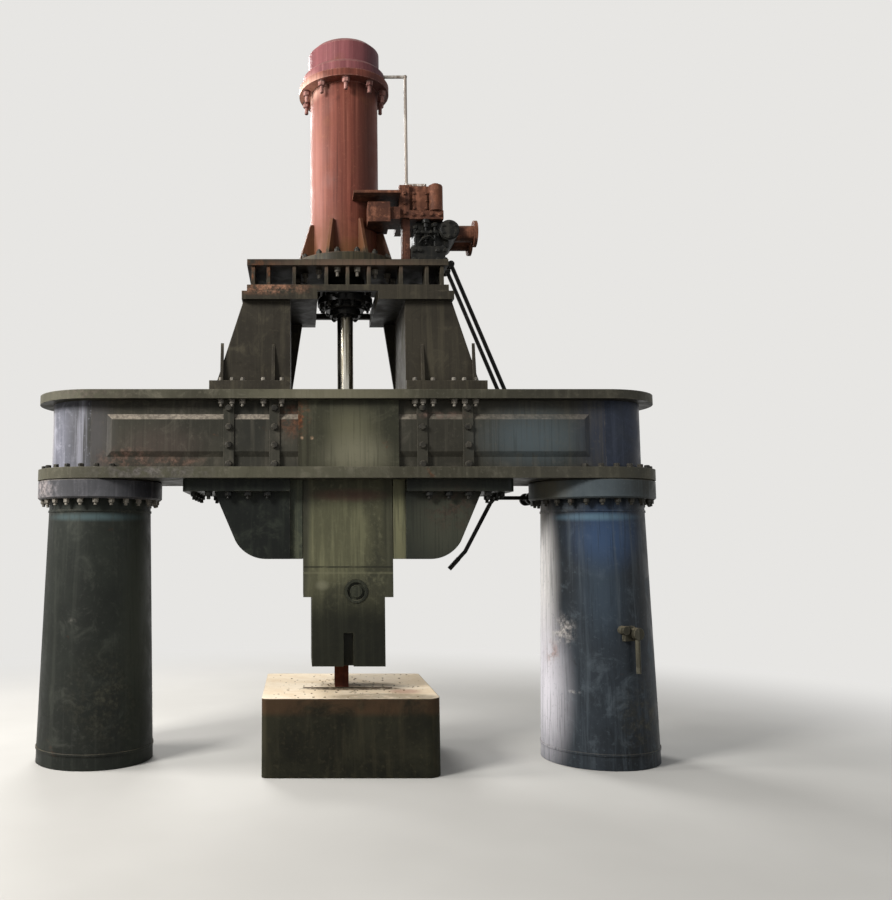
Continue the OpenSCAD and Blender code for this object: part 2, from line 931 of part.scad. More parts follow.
module cylinder_cap() {
    color([0.56, 0.33, 0.30])
        translate([0, 0, cap_z])
            rotate_extrude()
                polygon([
                    [0, 0], [cap_d / 2, 0], [cap_d / 2, cap_h - cap_bevel],
                    [cap_d / 2 - cap_bevel, cap_h], [0, cap_h]
                ]);
}

// Thin pipe from the cap's flange down to the steam chest
module cap_pipe() {
    pipe_d = 26;
    pipe_in = 85;
    pipe_x = chest_x + pipe_in;
    pipe_y = -110;
    pipe_z = cap_flange_z + 62;
    start_x = cap_flange_d / 2 - 40;
    color([0.62, 0.60, 0.58])
        difference() {
            union() {
                translate([start_x, pipe_y, pipe_z])
                    rotate([0, 90, 0]) cylinder(h = pipe_x - start_x, d = pipe_d, $fn = 32);
                translate([pipe_x, pipe_y, pipe_z]) sphere(d = pipe_d * 1.3, $fn = 24);
                translate([pipe_x, pipe_y, chest_top]) cylinder(h = pipe_z - chest_top, d = pipe_d, $fn = 32);
            }
            translate([0, 0, cap_flange_z]) cylinder(h = cap_flange_h, d = cap_flange_d + 2 * curve_gap);
        }
}

// Passage casting between the cylinder and the steam chest
module port_block() {
    neck_in = 30;
    z = table_top + port_z;
    color([0.42, 0.26, 0.20])
        difference() {
            union() {
                translate([port_x, port_front_y, z]) cube([port_w, port_d, port_h]);
                block([port_x + port_w - 1, port_front_y + neck_in, z + neck_in],
                      [chest_x, port_front_y + port_d - neck_in, z + port_h - neck_in]);
            }
            cylinder_room();
        }
}

module port_shelf() {
    front_y = -450;
    depth = 350;
    color([0.50, 0.34, 0.26])
        difference() {
            translate([shelf_x, front_y, table_top + shelf_z - shelf_t])
                cube([chest_x - shelf_x, depth, shelf_t]);
            cylinder_room();
        }
}

// Steam chest: end flange, ledge, set-back box, and the leg that carries it on the table
module steam_chest() {
    flange_rise = 10;
    leg_in = 25;
    leg_w = 60;
    leg_y = 120;
    box_x = chest_x + chest_flange_t;
    end_x = chest_x + chest_w;
    end_y = chest_y + chest_d;
    color([0.45, 0.28, 0.18]) {
        block([chest_x, chest_y, chest_bottom + flange_rise], [box_x, end_y, chest_top]);
        block([box_x - 1, chest_y, chest_bottom], [end_x, end_y, chest_bottom + chest_ledge_h]);
        block([box_x - 1, chest_y + chest_waist, chest_bottom + chest_ledge_h - 1],
              [end_x, end_y - chest_waist, chest_top]);
        translate([chest_x + leg_in, chest_y + chest_waist, table_top])
            cube([leg_w, leg_y, chest_z + flange_rise + 1]);
    }
}

// Flat cover and upright valve body on the front of the steam chest
module chest_covers() {
    cover_x = chest_x + 108;
    plate_w = 115;
    plate_h = 150;
    plate_t = 22;
    upright_in = 60;
    upright_x = chest_x + chest_w - upright_in;
    upright_d = 110;
    cap_r = 30;
    rise = 15;
    face_y = chest_y + chest_waist;
    low = chest_bottom + chest_ledge_h;
    color([0.48, 0.30, 0.19]) {
        translate([cover_x, face_y - plate_t, low + 6]) cube([plate_w, plate_t, plate_h]);
        difference() {
            union() {
                translate([upright_x, face_y, low]) cylinder(h = chest_top - low, d = upright_d);
                translate([upright_x, face_y, low]) cylinder(h = chest_top - low + rise, r = cap_r);
            }
            translate([upright_x - upright_d, face_y, low - 1])
                cube([2 * upright_d, upright_d, chest_top - low + rise + 2]);
        }
    }
}

// Steam pipe stub on the valve housing, its bored and drilled flange towards +X
module steam_stub(y) {
    stub_len = 185;
    flange_t = 26;
    floor_t = 95;
    difference() {
        translate([stub_x, y, shaft_height])
            rotate([0, 90, 0])
                difference() {
                    union() {
                        cylinder(h = stub_len, d = stub_d);
                        translate([0, 0, stub_len - flange_t]) cylinder(h = flange_t, d = stub_flange_d);
                    }
                    translate([0, 0, floor_t]) cylinder(h = stub_len, d = stub_bore);
                    for (i = [0:stub_holes - 1])
                        rotate([0, 0, 360 / stub_holes * i])
                            translate([stub_pcd / 2, 0, stub_len - flange_t - 1])
                                cylinder(h = flange_t + 2, d = stub_hole_d);
                }
        translate([shaft_x, chest_y, shaft_height])
            rotate([-90, 0, 0]) cylinder(h = chest_d, d = housing_d + 2 * curve_gap);
    }
}

module steam_inlet() {
    color([0.42, 0.22, 0.20]) steam_stub(chest_y + chest_d - stub_in);
}

module steam_outlet() {
    color([0.42, 0.22, 0.20]) steam_stub(chest_y + stub_in);
}

// Round housing that the valve shaft turns in, with its foot on the table and its neck under the chest
module valve_housing() {
    end_gap = 10;
    wall = 40;
    foot_x = chest_x + 90;
    foot_h = 150;
    neck_in = 50;
    y0 = chest_y + end_gap;
    housing_l = chest_d - 2 * end_gap;
    neck_y0 = y0 + neck_in;
    neck_y1 = y0 + housing_l - neck_in;
    color([0.13, 0.12, 0.11])
        difference() {
            union() {
                translate([shaft_x, y0, shaft_height])
                    rotate([-90, 0, 0]) cylinder(h = housing_l, d = housing_d);
                block([foot_x, y0, table_top], [table_half_w, y0 + housing_l, table_top + foot_h]);
                block([foot_x + neck_in, neck_y0, table_top + foot_h - 1], [shaft_x, neck_y1, chest_bottom]);
            }
            translate([shaft_x, y0 + wall, shaft_height])
                rotate([-90, 0, 0]) cylinder(h = housing_l, d = shaft_d + 2 * pin_gap);
        }
}

// Bearing on the rear of the table that carries the valve shaft
module shaft_bearing() {
    bearing_in = 110;
    bearing_t = 90;
    bearing_w = 120;
    wall = 30;
    bearing_y = table_d / 2 - bearing_in;
    boss_d = shaft_d + 2 * wall;
    color([0.12, 0.12, 0.11])
        difference() {
            union() {
                translate([shaft_x, bearing_y, shaft_height])
                    rotate([-90, 0, 0]) cylinder(h = bearing_t, d = boss_d);
                block([shaft_x - bearing_w, bearing_y, table_top],
                      [table_half_w, bearing_y + bearing_t, shaft_height]);
            }
            translate([shaft_x, bearing_y - 1, shaft_height])
                rotate([-90, 0, 0]) cylinder(h = bearing_t + 2, d = shaft_d + 2 * pin_gap);
        }
}

// Bracket under the bridge that carries the hand lever
module lever_bracket() {
    half_w = 42;
    under = 75;
    color([0.13, 0.13, 0.12])
        difference() {
            block([lever_x - half_w, bracket_y, lever_height - under],
                  [lever_x + half_w, bracket_y + bracket_t, bridge_z]);
            translate([lever_x, bracket_y - 1, lever_height])
                rotate([-90, 0, 0]) cylinder(h = bracket_t + 2, d = lever_shaft_d + 2 * pin_gap);
        }
}

// Arm along +X from a shaft to a rod pin
module arm(y) {
    end_wall = 18;
    hub_wall = 25;
    end_d = pin_d + 2 * end_wall;
    hub_d = shaft_d + 2 * hub_wall;
    translate([0, y - arm_t / 2, 0])
        rotate([-90, 0, 0])
            linear_extrude(arm_t)
                polygon([
                    for (a = [0:10:350])
                        let (right = cos(a) > 0)
                        right ? [arm_len + end_d / 2 * cos(a), end_d / 2 * sin(a)]
                              : [hub_d / 2 * cos(a), hub_d / 2 * sin(a)]
                ]);
}

module rod_pins() {
    for (y = [rod_front_y, rod_rear_y])
        translate([arm_len, y - arm_t / 2 - control_rod_d - 2 * rod_side_gap, 0])
            rotate([-90, 0, 0]) cylinder(h = control_rod_d + 2 * rod_side_gap + 1, d = pin_d);
}

module valve_shaft() {
    shaft_in = 60;
    inner_y = chest_y + shaft_in;
    color([0.16, 0.15, 0.14])
        translate([shaft_x, 0, shaft_height]) {
            translate([0, inner_y, 0])
                rotate([-90, 0, 0]) cylinder(h = rod_rear_y + arm_t - inner_y, d = shaft_d);
            arm(rod_front_y);
            arm(rod_rear_y);
            rod_pins();
        }
}

// The two rods between the valve shaft's arms and the hand lever's arms
module control_rods() {
    top = [shaft_x + arm_len, shaft_height];
    low = [lever_x + arm_len, lever_height];
    run = norm(top - low);
    lean = atan2(low[0] - top[0], top[1] - low[1]);
    eye_wall = 15;
    eye_d = pin_d + 2 * eye_wall;
    color([0.12, 0.12, 0.12])
        for (y = [rod_front_y, rod_rear_y])
            translate([low[0], y - arm_t / 2 - rod_side_gap - control_rod_d / 2, low[1]])
                rotate([0, -lean, 0])
                    difference() {
                        union() {
                            cylinder(h = run, d = control_rod_d, $fn = 48);
                            for (z = [0, run])
                                translate([0, control_rod_d / 2, z])
                                    rotate([90, 0, 0]) cylinder(h = control_rod_d, d = eye_d);
                        }
                        for (z = [0, run])
                            translate([0, control_rod_d / 2 + 1, z])
                                rotate([90, 0, 0]) cylinder(h = control_rod_d + 2, d = pin_d + 2 * pin_gap);
                    }
}

// Unit sideways direction of the step from a to b
function side_of(a, b) = let (d = (b - a) / norm(b - a)) [-d[1], d[0]];
// Sideways direction at point i of a path, long enough to keep the band's width round a bend
function mitre(path, i) =
    i == 0 ? side_of(path[0], path[1])
    : i == len(path) - 1 ? side_of(path[i - 1], path[i])
    : let (n = side_of(path[i - 1], path[i]) + side_of(path[i], path[i + 1]))
      n / (n * side_of(path[i], path[i + 1]));
// Outline of a band along a path
function band(path, half) = concat(
    [for (i = [0:len(path) - 1]) path[i] + half * mitre(path, i)],
    [for (i = [len(path) - 1:-1:0]) path[i] - half * mitre(path, i)]
);

// Bent hand lever on its cross shaft, with the two arms that move the rods
module hand_lever() {
    bar_gap = 35;
    bar_y = bracket_y + bracket_t + bar_gap;
    shaft_start = bracket_y + 2;
    bar_boss_wall = 15;
    grip_l = 120;
    grip_wall = 4;
    grip_lap = 20;
    // The bar's middle line from the shaft: along under the bridge, then down past the cheek
    route = [[0, 0], [-310, 0], [-345, -10], [-375, -42], [-602, -460], [-622, -480], [-672, -534]];
    last = len(route) - 1;
    reach = route[last] - route[last - 1];
    color([0.10, 0.10, 0.10])
        translate([lever_x, 0, lever_height]) {
            translate([0, shaft_start, 0])
                rotate([-90, 0, 0]) cylinder(h = rod_rear_y + arm_t - shaft_start, d = lever_shaft_d);
            arm(rod_front_y);
            arm(rod_rear_y);
            rod_pins();
            translate([0, bar_y + lever_t, 0]) rotate([90, 0, 0]) {
                linear_extrude(lever_t) polygon(band(route, lever_w / 2));
                cylinder(h = lever_t, d = lever_shaft_d + 2 * bar_boss_wall);
            }
            translate([route[last][0], bar_y + lever_t / 2, route[last][1]])
                rotate([0, atan2(reach[0], reach[1]), 0])
                    translate([0, 0, -grip_lap]) cylinder(h = grip_l, d = lever_w + 2 * grip_wall, $fn = 48);
        }
}

column_left();
column_right();
column_head_left();
column_head_right();
column_cleat();
bridge_bottom_flange();
bridge_top_flange();
bridge_web_front();
bridge_web_rear();
bridge_end_left();
bridge_end_right();
web_splices_front();
web_splices_rear();
shaft_cover_front();
shaft_cover_rear();
shaft_wall_left();
shaft_wall_right();
guide_cheek_left();
guide_cheek_right();
guide_rail_left();
guide_rail_right();
ram();
ram_plug();
piston_rod();
piston();
anvil();
ram_prop();
pedestal_feet();
pedestal_leg_left();
pedestal_leg_right();
pedestal_lower_plate();
pedestal_upper_plate();
pedestal_ribs();
gland_housing();
gland_follower();
cylinder_foot();
cylinder_body();  // cylinder
cap_flange();
cylinder_cap();
cap_pipe();
port_block();
port_shelf();
steam_chest();
chest_covers();
steam_inlet();
steam_outlet();
valve_housing();
shaft_bearing();
lever_bracket();
valve_shaft();
control_rods();
hand_lever();
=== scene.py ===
"""Looks of the steam hammer: paint, rust, dust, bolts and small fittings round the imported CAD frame."""
import json
import math
import random

import bmesh
import bpy
from mathutils import Matrix, Vector


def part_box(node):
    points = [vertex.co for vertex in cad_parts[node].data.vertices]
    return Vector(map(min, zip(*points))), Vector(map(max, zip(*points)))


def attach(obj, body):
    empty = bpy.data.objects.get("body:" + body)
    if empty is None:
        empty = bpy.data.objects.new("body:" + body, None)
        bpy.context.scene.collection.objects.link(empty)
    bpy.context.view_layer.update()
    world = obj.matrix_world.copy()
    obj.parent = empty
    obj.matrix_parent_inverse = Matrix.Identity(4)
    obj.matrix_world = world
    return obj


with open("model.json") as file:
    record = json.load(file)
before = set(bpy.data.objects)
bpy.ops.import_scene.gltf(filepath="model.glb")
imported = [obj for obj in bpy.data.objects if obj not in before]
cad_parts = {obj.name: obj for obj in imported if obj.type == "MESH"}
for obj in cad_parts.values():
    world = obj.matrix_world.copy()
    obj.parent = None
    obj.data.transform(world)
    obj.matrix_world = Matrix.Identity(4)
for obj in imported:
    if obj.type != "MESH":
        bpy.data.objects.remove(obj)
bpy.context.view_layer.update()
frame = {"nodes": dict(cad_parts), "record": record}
scene = bpy.context.scene
Y, Z = Vector((0, 1, 0)), Vector((0, 0, 1))
BOTH = (-1, 1)

# Places that the fittings take from the CAD nodes, in metres
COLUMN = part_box("column_right")
COLUMN_X = (COLUMN[0].x + COLUMN[1].x) / 2
COLUMN_TOP = COLUMN[1].z
BRIDGE_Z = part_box("bridge_bottom_flange")[0].z
WEB_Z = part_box("bridge_bottom_flange")[1].z
TOP_FLANGE_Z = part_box("bridge_top_flange")[0].z
BRIDGE_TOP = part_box("bridge_top_flange")[1].z
STRIP_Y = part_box("web_splices_front")[0].y
LOWER_PLATE_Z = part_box("pedestal_lower_plate")[0].z
UPPER_PLATE_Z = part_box("pedestal_upper_plate")[0].z
TABLE_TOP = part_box("pedestal_upper_plate")[1].z
CYLINDER_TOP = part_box("cylinder")[1].z
FOLLOWER_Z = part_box("gland_follower")[0].z
CHEST_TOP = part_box("steam_chest")[1].z
ANVIL_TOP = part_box("anvil")[1].z

# Thickness of the plates and flanges that the bolts go through, in metres
FOOT_PLATE_T = 0.075
HEAD_PLATE_T = 0.065
CHEEK_FLANGE_T = 0.095
FOOT_TOP = BRIDGE_TOP + FOOT_PLATE_T
HEAD_PLATE_Z = LOWER_PLATE_Z - HEAD_PLATE_T

# Shades of dust and rust, as screen colours from 0 to 255
DUST = (134, 122, 100)
RUST = (104, 66, 44)
RUST_DARK = (58, 38, 30)


# Material nodes
def linear(shade):
    """Screen colour from 0 to 255 as the linear colour that a socket takes."""
    parts = [v / 255 for v in shade]
    return tuple(v / 12.92 if v <= 0.04045 else ((v + 0.055) / 1.055) ** 2.4 for v in parts) + (1.0,)


def scaled(shade, factor):
    return tuple(v * factor for v in shade)


class Nodes:
    """A material under construction, with short calls for the nodes it needs."""

    def __init__(self, name, rough, metal=0.0, specular=0.5):
        self.mat = bpy.data.materials.new(name)
        self.mat.use_nodes = True
        self.tree = self.mat.node_tree
        self.tree.nodes.clear()
        self.out = self.new("ShaderNodeOutputMaterial")
        self.bsdf = self.new("ShaderNodeBsdfPrincipled")
        self.bsdf.inputs["Metallic"].default_value = metal
        self.bsdf.inputs["Roughness"].default_value = rough
        self.bsdf.inputs["Specular IOR Level"].default_value = specular
        self.tree.links.new(self.bsdf.outputs[0], self.out.inputs["Surface"])
        self.place = self.new("ShaderNodeTexCoord").outputs["Object"]
        self.normal = self.new("ShaderNodeNewGeometry").outputs["Normal"]

    def new(self, kind):
        return self.tree.nodes.new(kind)

    def plug(self, value, socket):
        if isinstance(value, bpy.types.NodeSocket):
            self.tree.links.new(value, socket)
        else:
            socket.default_value = value

    def stretch(self, sx, sy, sz, shift=(0, 0, 0)):
        """Object coordinates scaled along the axes, so that a pattern runs down or across."""
        node = self.new("ShaderNodeMapping")
        self.plug(self.place, node.inputs["Vector"])
        node.inputs["Scale"].default_value = (sx, sy, sz)
        node.inputs["Location"].default_value = shift
        return node.outputs[0]

    def noise(self, scale, detail=4.0, rough=0.55, vec=None, distort=0.0):
        node = self.new("ShaderNodeTexNoise")
        self.plug(vec if vec is not None else self.place, node.inputs["Vector"])
        node.inputs["Scale"].default_value = scale
        node.inputs["Detail"].default_value = detail
        node.inputs["Roughness"].default_value = rough
        node.inputs["Distortion"].default_value = distort
        return node.outputs[0]

    def cells(self, scale):
        node = self.new("ShaderNodeTexVoronoi")
        self.plug(self.place, node.inputs["Vector"])
        node.inputs["Scale"].default_value = scale
        return node.outputs["Distance"]

    def ramp(self, value, low, high, a=0.0, b=1.0):
        """From a at low to b at high, with soft ends."""
        node = self.new("ShaderNodeMapRange")
        node.interpolation_type = "SMOOTHSTEP"
        self.plug(value, node.inputs["Value"])
        node.inputs["From Min"].default_value = low
        node.inputs["From Max"].default_value = high
        node.inputs["To Min"].default_value = a
        node.inputs["To Max"].default_value = b
        return node.outputs["Result"]

    def math(self, kind, a, b):
        node = self.new("ShaderNodeMath")
        node.operation = kind
        node.use_clamp = True
        self.plug(a, node.inputs[0])
        self.plug(b, node.inputs[1])
        return node.outputs[0]

    def times(self, a, b):
        return self.math("MULTIPLY", a, b)

    def larger(self, a, b):
        return self.math("MAXIMUM", a, b)

    def mix(self, mask, a, b):
        """Colour a where the mask is 0 and b where it is 1."""
        node = self.new("ShaderNodeMix")
        node.data_type = "RGBA"
        self.plug(mask, node.inputs["Factor"])
        self.plug(a if isinstance(a, bpy.types.NodeSocket) else linear(a), node.inputs[6])
        self.plug(b if isinstance(b, bpy.types.NodeSocket) else linear(b), node.inputs[7])
        return node.outputs[2]

    def vector(self, kind, a, b=None):
        node = self.new("ShaderNodeVectorMath")
        node.operation = kind
        self.plug(a, node.inputs[0])
        if b is not None:
            self.plug(b, node.inputs[1])
        return node.outputs["Value" if kind in ("LENGTH", "DOT_PRODUCT") else 0]

    def axis(self, which, vec=None):
        node = self.new("ShaderNodeSeparateXYZ")
        self.plug(vec if vec is not None else self.place, node.inputs[0])
        return node.outputs[which]

    def blob(self, centre, size, soft=0.6):
        """1 in the middle of an ellipsoid, 0 outside it."""
        away = self.vector("DIVIDE", self.vector("SUBTRACT", self.place, centre), size)
        return self.ramp(self.vector("LENGTH", away), 1.0 - soft, 1.0, 1.0, 0.0)

    def band(self, axis, low, high, soft):
        """1 between low and high along an axis."""
        value = self.axis(axis)
        over = self.ramp(value, low - soft, low + soft)
        return self.times(over, self.ramp(value, high - soft, high + soft, 1.0, 0.0))

    def up(self, low=0.55, high=0.9):
        """1 on faces that look up."""
        return self.ramp(self.axis(2, self.normal), low, high)

    def down(self):
        """1 on faces that look down."""
        return self.ramp(self.axis(2, self.normal), -0.9, -0.5, 1.0, 0.0)

    def soft_normal(self, radius):
        bevel = self.new("ShaderNodeBevel")
        bevel.samples = 4
        bevel.inputs["Radius"].default_value = radius
        return bevel.outputs[0]

    def edges(self, radius=0.012, low=0.02, high=0.16):
        """1 on outer and inner edges."""
        turn = self.vector("DOT_PRODUCT", self.soft_normal(radius), self.normal)
        return self.ramp(turn, 1.0 - high, 1.0 - low, 1.0, 0.0)

    def bump(self, *heights, bevel=0.006):
        """Stacks (height, strength, distance) bumps over a softly rounded normal."""
        last = self.soft_normal(bevel)
        for height, strength, distance in heights:
            node = self.new("ShaderNodeBump")
            node.inputs["Strength"].default_value = strength
            node.inputs["Distance"].default_value = distance
            self.plug(height, node.inputs["Height"])
            self.plug(last, node.inputs["Normal"])
            last = node.outputs[0]
        self.plug(last, self.bsdf.inputs["Normal"])

    def finish(self, colour, rough=None):
        self.plug(colour, self.bsdf.inputs["Base Color"])
        if rough is not None:
            self.plug(rough, self.bsdf.inputs["Roughness"])
        return self.mat


# Kinds of surface. Each takes a base, a dark and a light shade, and lists of places where the photograph
# shows another tone, each place as (centre, size, shade, strength); some of them are painted light or
# shade.
def old_paint(name, base, dark, light, dust=0.6, rust=0.25, rough=0.5, streak=0.5, edge=0.4, seed=0.0,
              tint=(), patches=(), dust_colour=DUST, dust_slope=0.55, dust_fade=None):
    """Aged paint on heavy plate: blotches, streaks, rust, edge wear and dust on what faces up, and painted
    shade on what faces down.
    """
    n = Nodes(name, rough, specular=0.1)
    shift = (seed, seed * 1.7, seed * 0.6)
    broad = n.noise(0.9, 5, 0.6, n.stretch(1, 1, 1, shift))
    blotch = n.noise(5.5, 8, 0.68, n.stretch(1, 1, 1, shift), 0.6)
    fine = n.noise(38, 6, 0.6)
    drips = n.noise(1.0, 6, 0.62, n.stretch(17, 17, 0.8, shift), 0.3)
    thin = n.noise(1.0, 4, 0.6, n.stretch(60, 60, 1.6, shift))
    colour = n.mix(n.ramp(broad, 0.36, 0.66), dark, base)
    colour = n.mix(n.ramp(blotch, 0.50, 0.72, 0.0, 0.75), colour, light)
    colour = n.mix(n.ramp(blotch, 0.42, 0.28, 0.0, 0.8), colour, dark)
    for centre, size, shade, strength in tint:
        colour = n.mix(n.times(n.blob(centre, size, 0.9), strength), colour, shade)
    colour = n.mix(n.ramp(drips, 0.50, 0.68, 0.0, streak * 0.75), colour, light)
    colour = n.mix(n.ramp(thin, 0.48, 0.36, 0.0, streak * 0.6), colour, dark)
    colour = n.mix(n.ramp(fine, 0.56, 0.74, 0.0, 0.35), colour, light)
    spots = n.noise(3.1, 11, 0.72, n.stretch(1, 1, 1, (3.1 + seed, 1.3, 0.4)), 0.4)
    rusty = n.ramp(spots, 0.67 - rust * 0.22, 0.76 - rust * 0.18)
    colour = n.mix(n.times(rusty, 0.72), colour, n.mix(n.ramp(fine, 0.35, 0.65), RUST_DARK, RUST))
    broken = n.ramp(n.noise(13, 9, 0.72), 0.42, 0.60) if patches else None
    for centre, size, shade, strength in patches:
        mask = n.times(n.blob(centre, size, 0.95), broken)
        mottled = n.mix(n.ramp(fine, 0.38, 0.62), scaled(shade, 0.62), shade)
        colour = n.mix(n.times(mask, strength), colour, mottled)
    worn = n.times(n.edges(), n.ramp(blotch, 0.38, 0.62, 0.1, 1.0))
    colour = n.mix(n.times(worn, edge), colour, n.mix(n.ramp(fine, 0.4, 0.6), light, (126, 118, 102)))
    # Painted shade: faces that look down are darkened towards near black
    colour = n.mix(n.times(n.down(), 0.65), colour, (22, 22, 20))
    lie = n.times(n.up(dust_slope, dust_slope + 0.3), n.ramp(blotch, 0.28, 0.6, 0.45, 1.0))
    if dust_fade:
        lie = n.times(lie, n.ramp(n.axis(0), *dust_fade))
    dusty = n.mix(n.ramp(fine, 0.35, 0.65), dust_colour, scaled(dust_colour, 0.72))
    colour = n.mix(n.times(lie, dust), colour, dusty)
    shine = n.ramp(blotch, 0.3, 0.7, rough - 0.13, rough + 0.16)
    shine = n.larger(shine, n.times(n.larger(rusty, lie), 0.86))
    n.bump((blotch, 0.25, 0.004), (fine, 0.25, 0.0015), (n.noise(150, 3, 0.5), 0.15, 0.0004),
           (rusty, 0.18, 0.0012))
    return n.finish(colour, shine)


def casting(name, base, dark, light, rough=0.55, oil=0.3, bumpy=0.5, dust=0.5, rust=0.0, seed=0.0,
            fields=(), lines=(), patches=()):
    """Rough cast or forged iron: grainy, blotched with oil and soot, with painted shade on what faces down.
    A line round the piece is given as (height, half its width, shade, strength)."""
    n = Nodes(name, rough, specular=0.12)
    shift = (seed, seed * 0.7, seed * 1.3)
    broad = n.noise(1.4, 6, 0.62, n.stretch(1, 1, 1, shift), 0.5)
    grain = n.noise(24, 9, 0.7)
    pits = n.cells(70)
    drips = n.noise(1.0, 6, 0.6, n.stretch(22, 22, 1.1, shift))
    colour = n.mix(n.ramp(broad, 0.34, 0.66), dark, base)
    colour = n.mix(n.ramp(grain, 0.48, 0.72, 0.0, 0.6), colour, light)
    colour = n.mix(n.ramp(drips, 0.5, 0.7, 0.0, 0.45), colour, light)
    colour = n.mix(n.ramp(drips, 0.44, 0.3, 0.0, oil), colour, dark)
    if rust:
        spots = n.noise(4.0, 10, 0.7, n.stretch(1, 1, 1, (1.9 + seed, 0.2, 2.2)), 0.3)
        rusty = n.ramp(spots, 0.66 - rust * 0.24, 0.76 - rust * 0.2)
        colour = n.mix(n.times(rusty, 0.75), colour, n.mix(n.ramp(grain, 0.4, 0.6), RUST_DARK, RUST))
    for centre, size, shade, strength in fields:
        streaky = n.mix(n.ramp(drips, 0.42, 0.62), shade, scaled(shade, 1.25))
        colour = n.mix(n.times(n.blob(centre, size, 0.45), strength), colour, streaky)
    for height, half, shade, strength in lines:
        mask = n.times(n.band(2, height - half, height + half, 0.003), n.ramp(grain, 0.3, 0.55, 0.4, 1.0))
        colour = n.mix(n.times(mask, strength), colour, shade)
    for centre, size, shade, strength in patches:
        mask = n.times(n.blob(centre, size, 0.75), n.ramp(broad, 0.3, 0.55, 0.25, 1.0))
        colour = n.mix(n.times(mask, strength), colour, shade)
    worn = n.times(n.edges(0.009), n.ramp(grain, 0.4, 0.6, 0.2, 1.0))
    colour = n.mix(n.times(worn, 0.4), colour, light)
    # Painted shade: faces that look down are darkened
    colour = n.mix(n.times(n.down(), 0.5), colour, (24, 23, 20))
    lie = n.times(n.up(), n.ramp(broad, 0.3, 0.6, 0.4, 1.0))
    colour = n.mix(n.times(lie, dust), colour, DUST)
    shine = n.larger(n.ramp(broad, 0.34, 0.66, rough - 0.16, rough + 0.14), n.times(lie, 0.85))
    n.bump((grain, bumpy, 0.003), (pits, bumpy * 0.5, 0.0012), (broad, 0.25, 0.006))
    return n.finish(colour, shine)


def steel(name, base, dark, rough, metal=1.0):
    """Machined steel: fine running marks, oil film and a few dark streaks."""
    n = Nodes(name, rough, metal)
    marks = n.noise(1.0, 5, 0.6, n.stretch(60, 60, 1.2))
    film = n.noise(3.5, 6, 0.6, None, 0.4)
    colour = n.mix(n.ramp(marks, 0.42, 0.6), dark, base)
    colour = n.mix(n.ramp(film, 0.46, 0.7, 0.0, 0.5), colour, dark)
    n.bump((marks, 0.12, 0.0005), bevel=0.003)
    return n.finish(colour, n.ramp(film, 0.3, 0.7, rough - 0.08, rough + 0.2))


def red_oxide(name, base, dark, light, seed=0.0, olive_to=None, fields=()):
    """Red primer, run down in long streaks, sooty and scuffed, and olive below the height olive_to."""
    n = Nodes(name, rough=0.6, specular=0.12)
    shift = (seed, seed, 0)
    long = n.noise(1.0, 7, 0.6, n.stretch(11, 11, 0.32, shift), 0.25)
    thin = n.noise(1.0, 5, 0.65, n.stretch(42, 42, 0.7, shift))
    blotch = n.noise(3.2, 8, 0.66, n.stretch(1, 1, 1, shift), 0.5)
    fine = n.noise(45, 6, 0.6)
    colour = n.mix(n.ramp(long, 0.34, 0.66), dark, base)
    colour = n.mix(n.ramp(thin, 0.52, 0.74, 0.0, 0.55), colour, light)
    colour = n.mix(n.ramp(thin, 0.46, 0.32, 0.0, 0.6), colour, scaled(dark, 0.74))
    colour = n.mix(n.ramp(blotch, 0.54, 0.74, 0.0, 0.45), colour, (126, 84, 60))
    colour = n.mix(n.ramp(blotch, 0.42, 0.27, 0.0, 0.55), colour, (66, 38, 34))
    colour = n.mix(n.ramp(fine, 0.56, 0.75, 0.0, 0.3), colour, light)
    for centre, size, shade, strength in fields:
        mask = n.times(n.blob(centre, size, 0.9), n.ramp(thin, 0.3, 0.6, 0.6, 1.0))
        colour = n.mix(n.times(mask, strength), colour, shade)
    soot = n.times(n.band(2, TABLE_TOP - 0.1, TABLE_TOP + 0.34, 0.24), n.ramp(blotch, 0.3, 0.6, 0.3, 1.0))
    colour = n.mix(n.times(soot, 0.65), colour, (96, 66, 36))
    wear, wear_shade = 0.5, (206, 158, 144)
    if olive_to:
        olive = n.mix(n.ramp(thin, 0.4, 0.6), (46, 43, 34), (66, 60, 46))
        colour = n.mix(n.ramp(n.axis(2), olive_to, olive_to + 0.07, 1.0, 0.0), colour, olive)
        wear, wear_shade = 0.35, (150, 112, 96)
    worn = n.times(n.edges(0.014), n.ramp(fine, 0.4, 0.62, 0.2, 1.0))
    colour = n.mix(n.times(worn, wear), colour, wear_shade)
    lie = n.times(n.up(), n.ramp(blotch, 0.3, 0.6, 0.5, 1.0))
    colour = n.mix(n.times(lie, 0.6), colour, (150, 122, 110))
    n.bump((blotch, 0.2, 0.004), (fine, 0.25, 0.0012), (thin, 0.12, 0.0012))
    return n.finish(colour, n.ramp(blotch, 0.3, 0.7, 0.42, 0.66))


